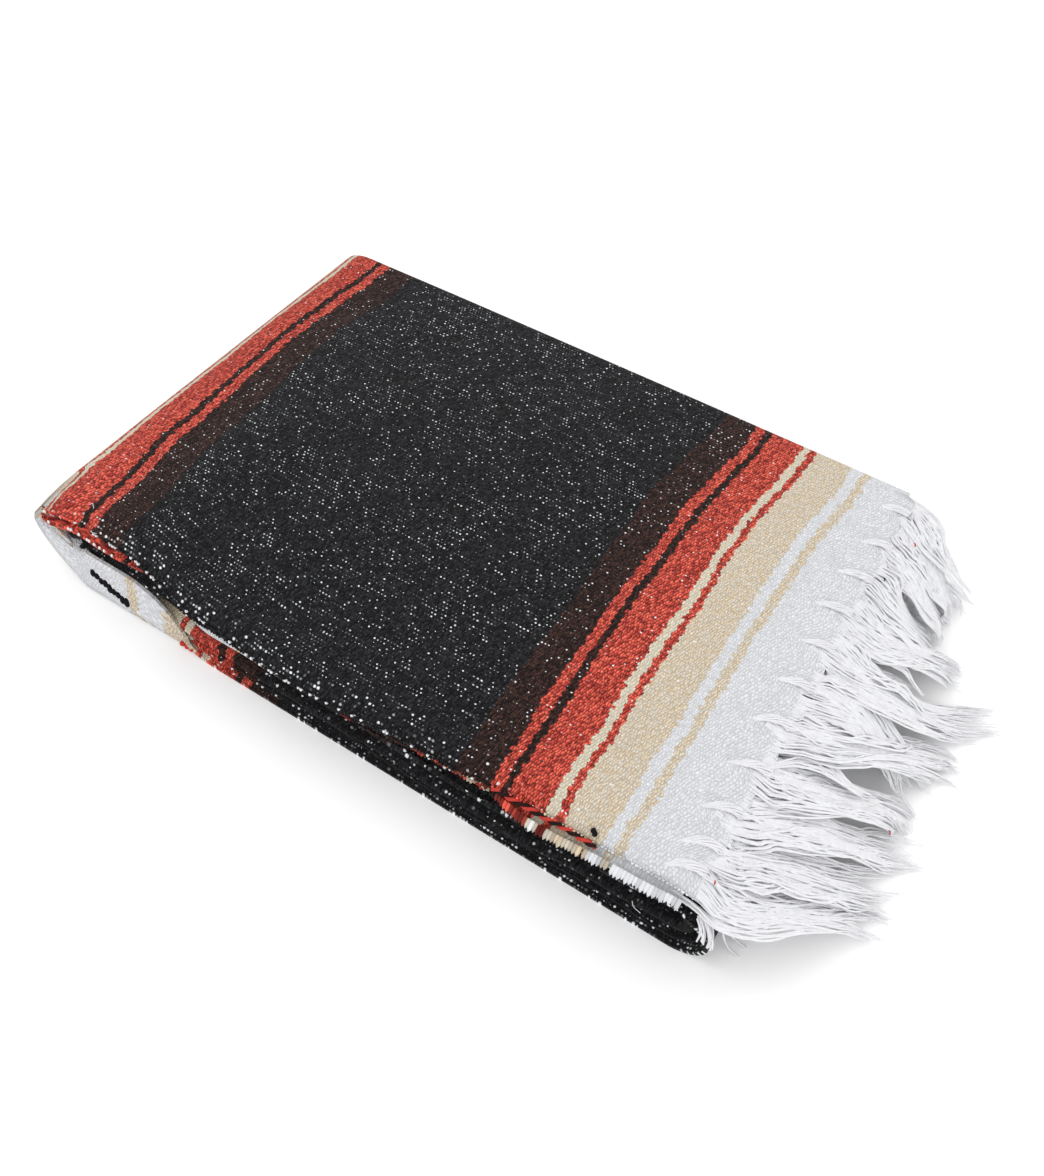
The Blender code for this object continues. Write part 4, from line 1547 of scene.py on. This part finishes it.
# %% Lower fringe
def lower_yarns(dice):
    """Yarns of the lower end, which go round the outside of the right fold to the floor."""
    yarns = []
    for tassel in range(10):
        middle = FIRST_TASSEL_Y + (tassel + 0.5) * TASSEL_PITCH
        for yarn in range(16):
            y = middle + dice.uniform(-0.010, 0.010)
            radius = fold_radius(y)
            gap = dice.uniform(0.0016, 0.0034)
            lean = dice.uniform(-0.004, 0.008)
            start = ply_point(("fourth", SHORT_END_X), y, 1.0 + dice.uniform(0.0, 2.0)) + shift
            path = [Vector((SHORT_END_X + ahead, y, start.z)) for ahead in (-0.006, 0.004)]
            halfway = (SHORT_END_X + FOLD_X) / 2.0 + 0.008
            path.append(Vector((halfway, y, fold_top(halfway, y) + gap)))
            for step, angle in enumerate((80, 50, 20, -10), start=1):
                turn = math.radians(angle)
                reach = radius + gap
                side = lean * step / 6.0 + 0.001 * math.sin(3.0 * step + yarn)
                x, z = FOLD_X + reach * math.cos(turn), radius + reach * math.sin(turn)
                path.append(Vector((x, y + side, z)))
            path.append(Vector((FOLD_X + radius + 0.007, y + lean, 0.0045)))
            tip_x = FOLD_X + radius + dice.uniform(0.012, 0.018)
            path.append(Vector((tip_x, y + lean * 1.2, 0.0012)))
            yarns.append([(p - shift, 1.0) for p in smooth_path(path, 18)])
    return yarns


low_yarns = lower_yarns(random.Random(44))
lower_fringe = yarn_mesh(
    "fringe_of_the_lower_end", low_yarns, YARN_RADIUS, 0, fringe_yarn
)
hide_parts("lower_fringe")

# %% [markdown]
# Small things.
# Where a colour changes, the weaver carries the idle yarn along the selvage: a red and a
# dark one show at the front of the top, and a black one shows as a row of bumps on the
# white near the left fold. There are a black knot, red tufts, some loose ends, and lint in
# the fringe.


# %% Plain wool and twisted yarns
def plain_wool(name, color):
    material = bpy.data.materials.new(name)
    material.use_nodes = True
    tree = material.node_tree
    shader = tree.nodes["Principled BSDF"]
    place = tree.nodes.new("ShaderNodeTexCoord").outputs["Object"]
    fibres = noise(tree, place, 1800.0, 3.0).outputs["Fac"]
    darker = [0.62 * value for value in color]
    tint = mix_color(tree, remap(tree, fibres, 0.3, 0.7), (*darker, 1.0), (*color, 1.0))
    plug(tree, tint, shader.inputs["Base Color"])
    bump = tree.nodes.new("ShaderNodeBump")
    bump.inputs["Distance"].default_value = 0.0005
    plug(tree, fibres, bump.inputs["Height"])
    plug(tree, bump.outputs[0], shader.inputs["Normal"])
    shader.inputs["Roughness"].default_value = 0.95
    shader.inputs["Specular IOR Level"].default_value = 0.1
    return material


wools = {yarn: plain_wool(f"{yarn} wool", YARNS[yarn][0]) for yarn in ("red", "dark", "black")}
wools["teal"] = plain_wool("teal lint", srgb(70, 130, 140))


def twist(points, strand, pitch, radius, count):
    """Path of one of two yarns twisted round a line of points."""
    line = smooth_path([Vector(point) for point in points], count)
    path, travelled = [], 0.0
    for i, point in enumerate(line):
        ahead = line[min(i + 1, count)] - line[max(i - 1, 0)]
        if i > 0:
            travelled += (point - line[i - 1]).length
        side = ahead.cross(Vector((0.0, 0.0, 1.0))).normalized()
        up = side.cross(ahead).normalized()
        angle = 6.28 * travelled / pitch + math.pi * strand
        path.append((point + (side * math.cos(angle) + up * math.sin(angle)) * radius - shift, 1.0))
    return path


CARRIED = (
    (0.336, -0.1590, 0.0500),
    (0.352, -0.1592, 0.0512),
    (0.368, -0.1590, 0.0520),
    (0.384, -0.1586, 0.0526),
    (0.400, -0.1590, 0.0524),
)
for strand, yarn in enumerate(("red", "dark")):
    path = twist(CARRIED, strand, 0.011, 0.0009, 60)
    yarn_mesh(f"carried_{yarn}_yarn", [path], 0.0011, 1, wools[yarn])


# %% Bumps, knot and loose ends
def bump_row(name, centres, sizes, wool):
    """Squashed balls in a row; a centre is (point, direction along, direction out)."""
    rows = []
    for (centre, along, out), (length, width, height) in zip(centres, sizes):
        bpy.ops.mesh.primitive_ico_sphere_add(subdivisions=2, radius=1.0, location=centre)
        ball = bpy.context.object
        across = out.cross(along).normalized()
        basis = ball.matrix_world.to_3x3()
        for column, (axis, size) in enumerate(((along, length), (across, width), (out, height))):
            basis.col[column] = axis.normalized() * size
        ball.matrix_world = basis.to_4x4()
        ball.matrix_world.translation = centre
        rows.append(ball)
    bpy.ops.object.select_all(action="DESELECT")
    for ball in rows:
        ball.select_set(True)
    bpy.context.view_layer.objects.active = rows[0]
    if len(rows) > 1:
        bpy.ops.object.join()
    obj = bpy.context.object
    obj.name = name
    bpy.ops.object.transform_apply(location=True, rotation=True, scale=True)
    bpy.ops.object.shade_smooth()
    obj.select_set(False)
    obj.data.materials.clear()
    obj.data.materials.append(wool)
    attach(obj, "root")
    print(name, "faces:", len(obj.data.polygons))


def on_margin(station, u):
    """Place on the outer ply's front margin: point, direction along, direction out."""
    at = u / (ROLL_Y - selvage_y(station))
    point = outer_point(station, at)[0]
    stretch, place = station
    step = 0.05 if stretch == "left" else 0.001
    along = outer_point((stretch, place + step), at)[0] - point
    across = outer_point(station, at + 0.004)[0] - point
    return point, along.normalized(), across.cross(along).normalized()


dice = random.Random(7)
DASH = [(("floor", 0.0260 + 0.0036 * i), 0.0145 + 0.0012 * i) for i in range(9)]
places = [on_margin(station, u + dice.uniform(-0.0011, 0.0011)) for station, u in DASH]
sizes = [(0.0022, dice.uniform(0.0024, 0.0042), 0.0018) for _ in places]
bump_row("carried_black_yarn", places, sizes, wools["black"])

along, up = Vector((1.0, 0.0, 0.0)), Vector((0.0, 0.0, 1.0))
knot = Vector((0.395, -0.1530, top_height(0.395, -0.153) + 0.0006)) - shift
knots = [(knot, along, up), (knot + Vector((0.0016, -0.0012, -0.0002)), along, up)]
bump_row("black_knot", knots, [(0.0015, 0.0017, 0.0012)] * 2, wools["black"])
tufts = [(Vector((0.102 + 0.004 * i, -0.1648, 0.0036)) - shift, along, up) for i in range(3)]
bump_row("red_tufts", tufts, [(0.0022, 0.0020, 0.0012)] * 3, wools["red"])

LOOSE_ENDS = (
    ((0.4280, -0.1668, 0.0330), (0.4295, -0.1672, 0.0275), (0.4340, -0.1674, 0.0250)),
    ((0.0330, -0.1520, 0.0590), (0.0350, -0.1535, 0.0605), (0.0385, -0.1525, 0.0600)),
    ((0.0180, -0.1380, 0.0600), (0.0200, -0.1370, 0.0615), (0.0225, -0.1390, 0.0602)),
)
ends = []
for points in LOOSE_ENDS:
    line = smooth_path([Vector(point) for point in points], 14)
    ends.append([(point - shift, 0.25) for point in line])
for _ in range(16):
    x = 0.4640 + dice.uniform(-0.003, 0.004)
    top = Vector((x, -0.1600 + dice.uniform(-0.002, 0.004), 0.0440))
    fall = Vector((x + dice.uniform(0.004, 0.009), -0.1660, dice.uniform(0.028, 0.036)))
    middle = top.lerp(fall, 0.5) + Vector((0.002, -0.0015, 0.001))
    ends.append([(point - shift, 0.8) for point in smooth_path([top, middle, fall], 8)])
yarn_mesh("loose_ends", ends, YARN_RADIUS, 0, fringe_yarn)

# Lint in the fringe: colour, place
LINT = (
    ("red", (0.467, 0.116, 0.0560)),
    ("red", (0.472, 0.007, 0.0560)),
    ("red", (0.528, -0.046, 0.0110)),
    ("red", (0.460, -0.144, 0.0585)),
    ("teal", (0.507, 0.012, 0.0320)),
    ("black", (0.455, -0.044, 0.0595)),
    ("black", (0.461, 0.080, 0.0575)),
)
for index, (yarn, place) in enumerate(LINT):
    start = Vector(place)
    bend = start + Vector((0.0009, -0.0006, 0.0005))
    end = start + Vector((0.0014, -0.0020, -0.0002))
    path = [(point - shift, 1.0) for point in smooth_path([start, bend, end], 6)]
    yarn_mesh(f"lint_{index + 1}", [path], 0.0004, 0, wools[yarn])
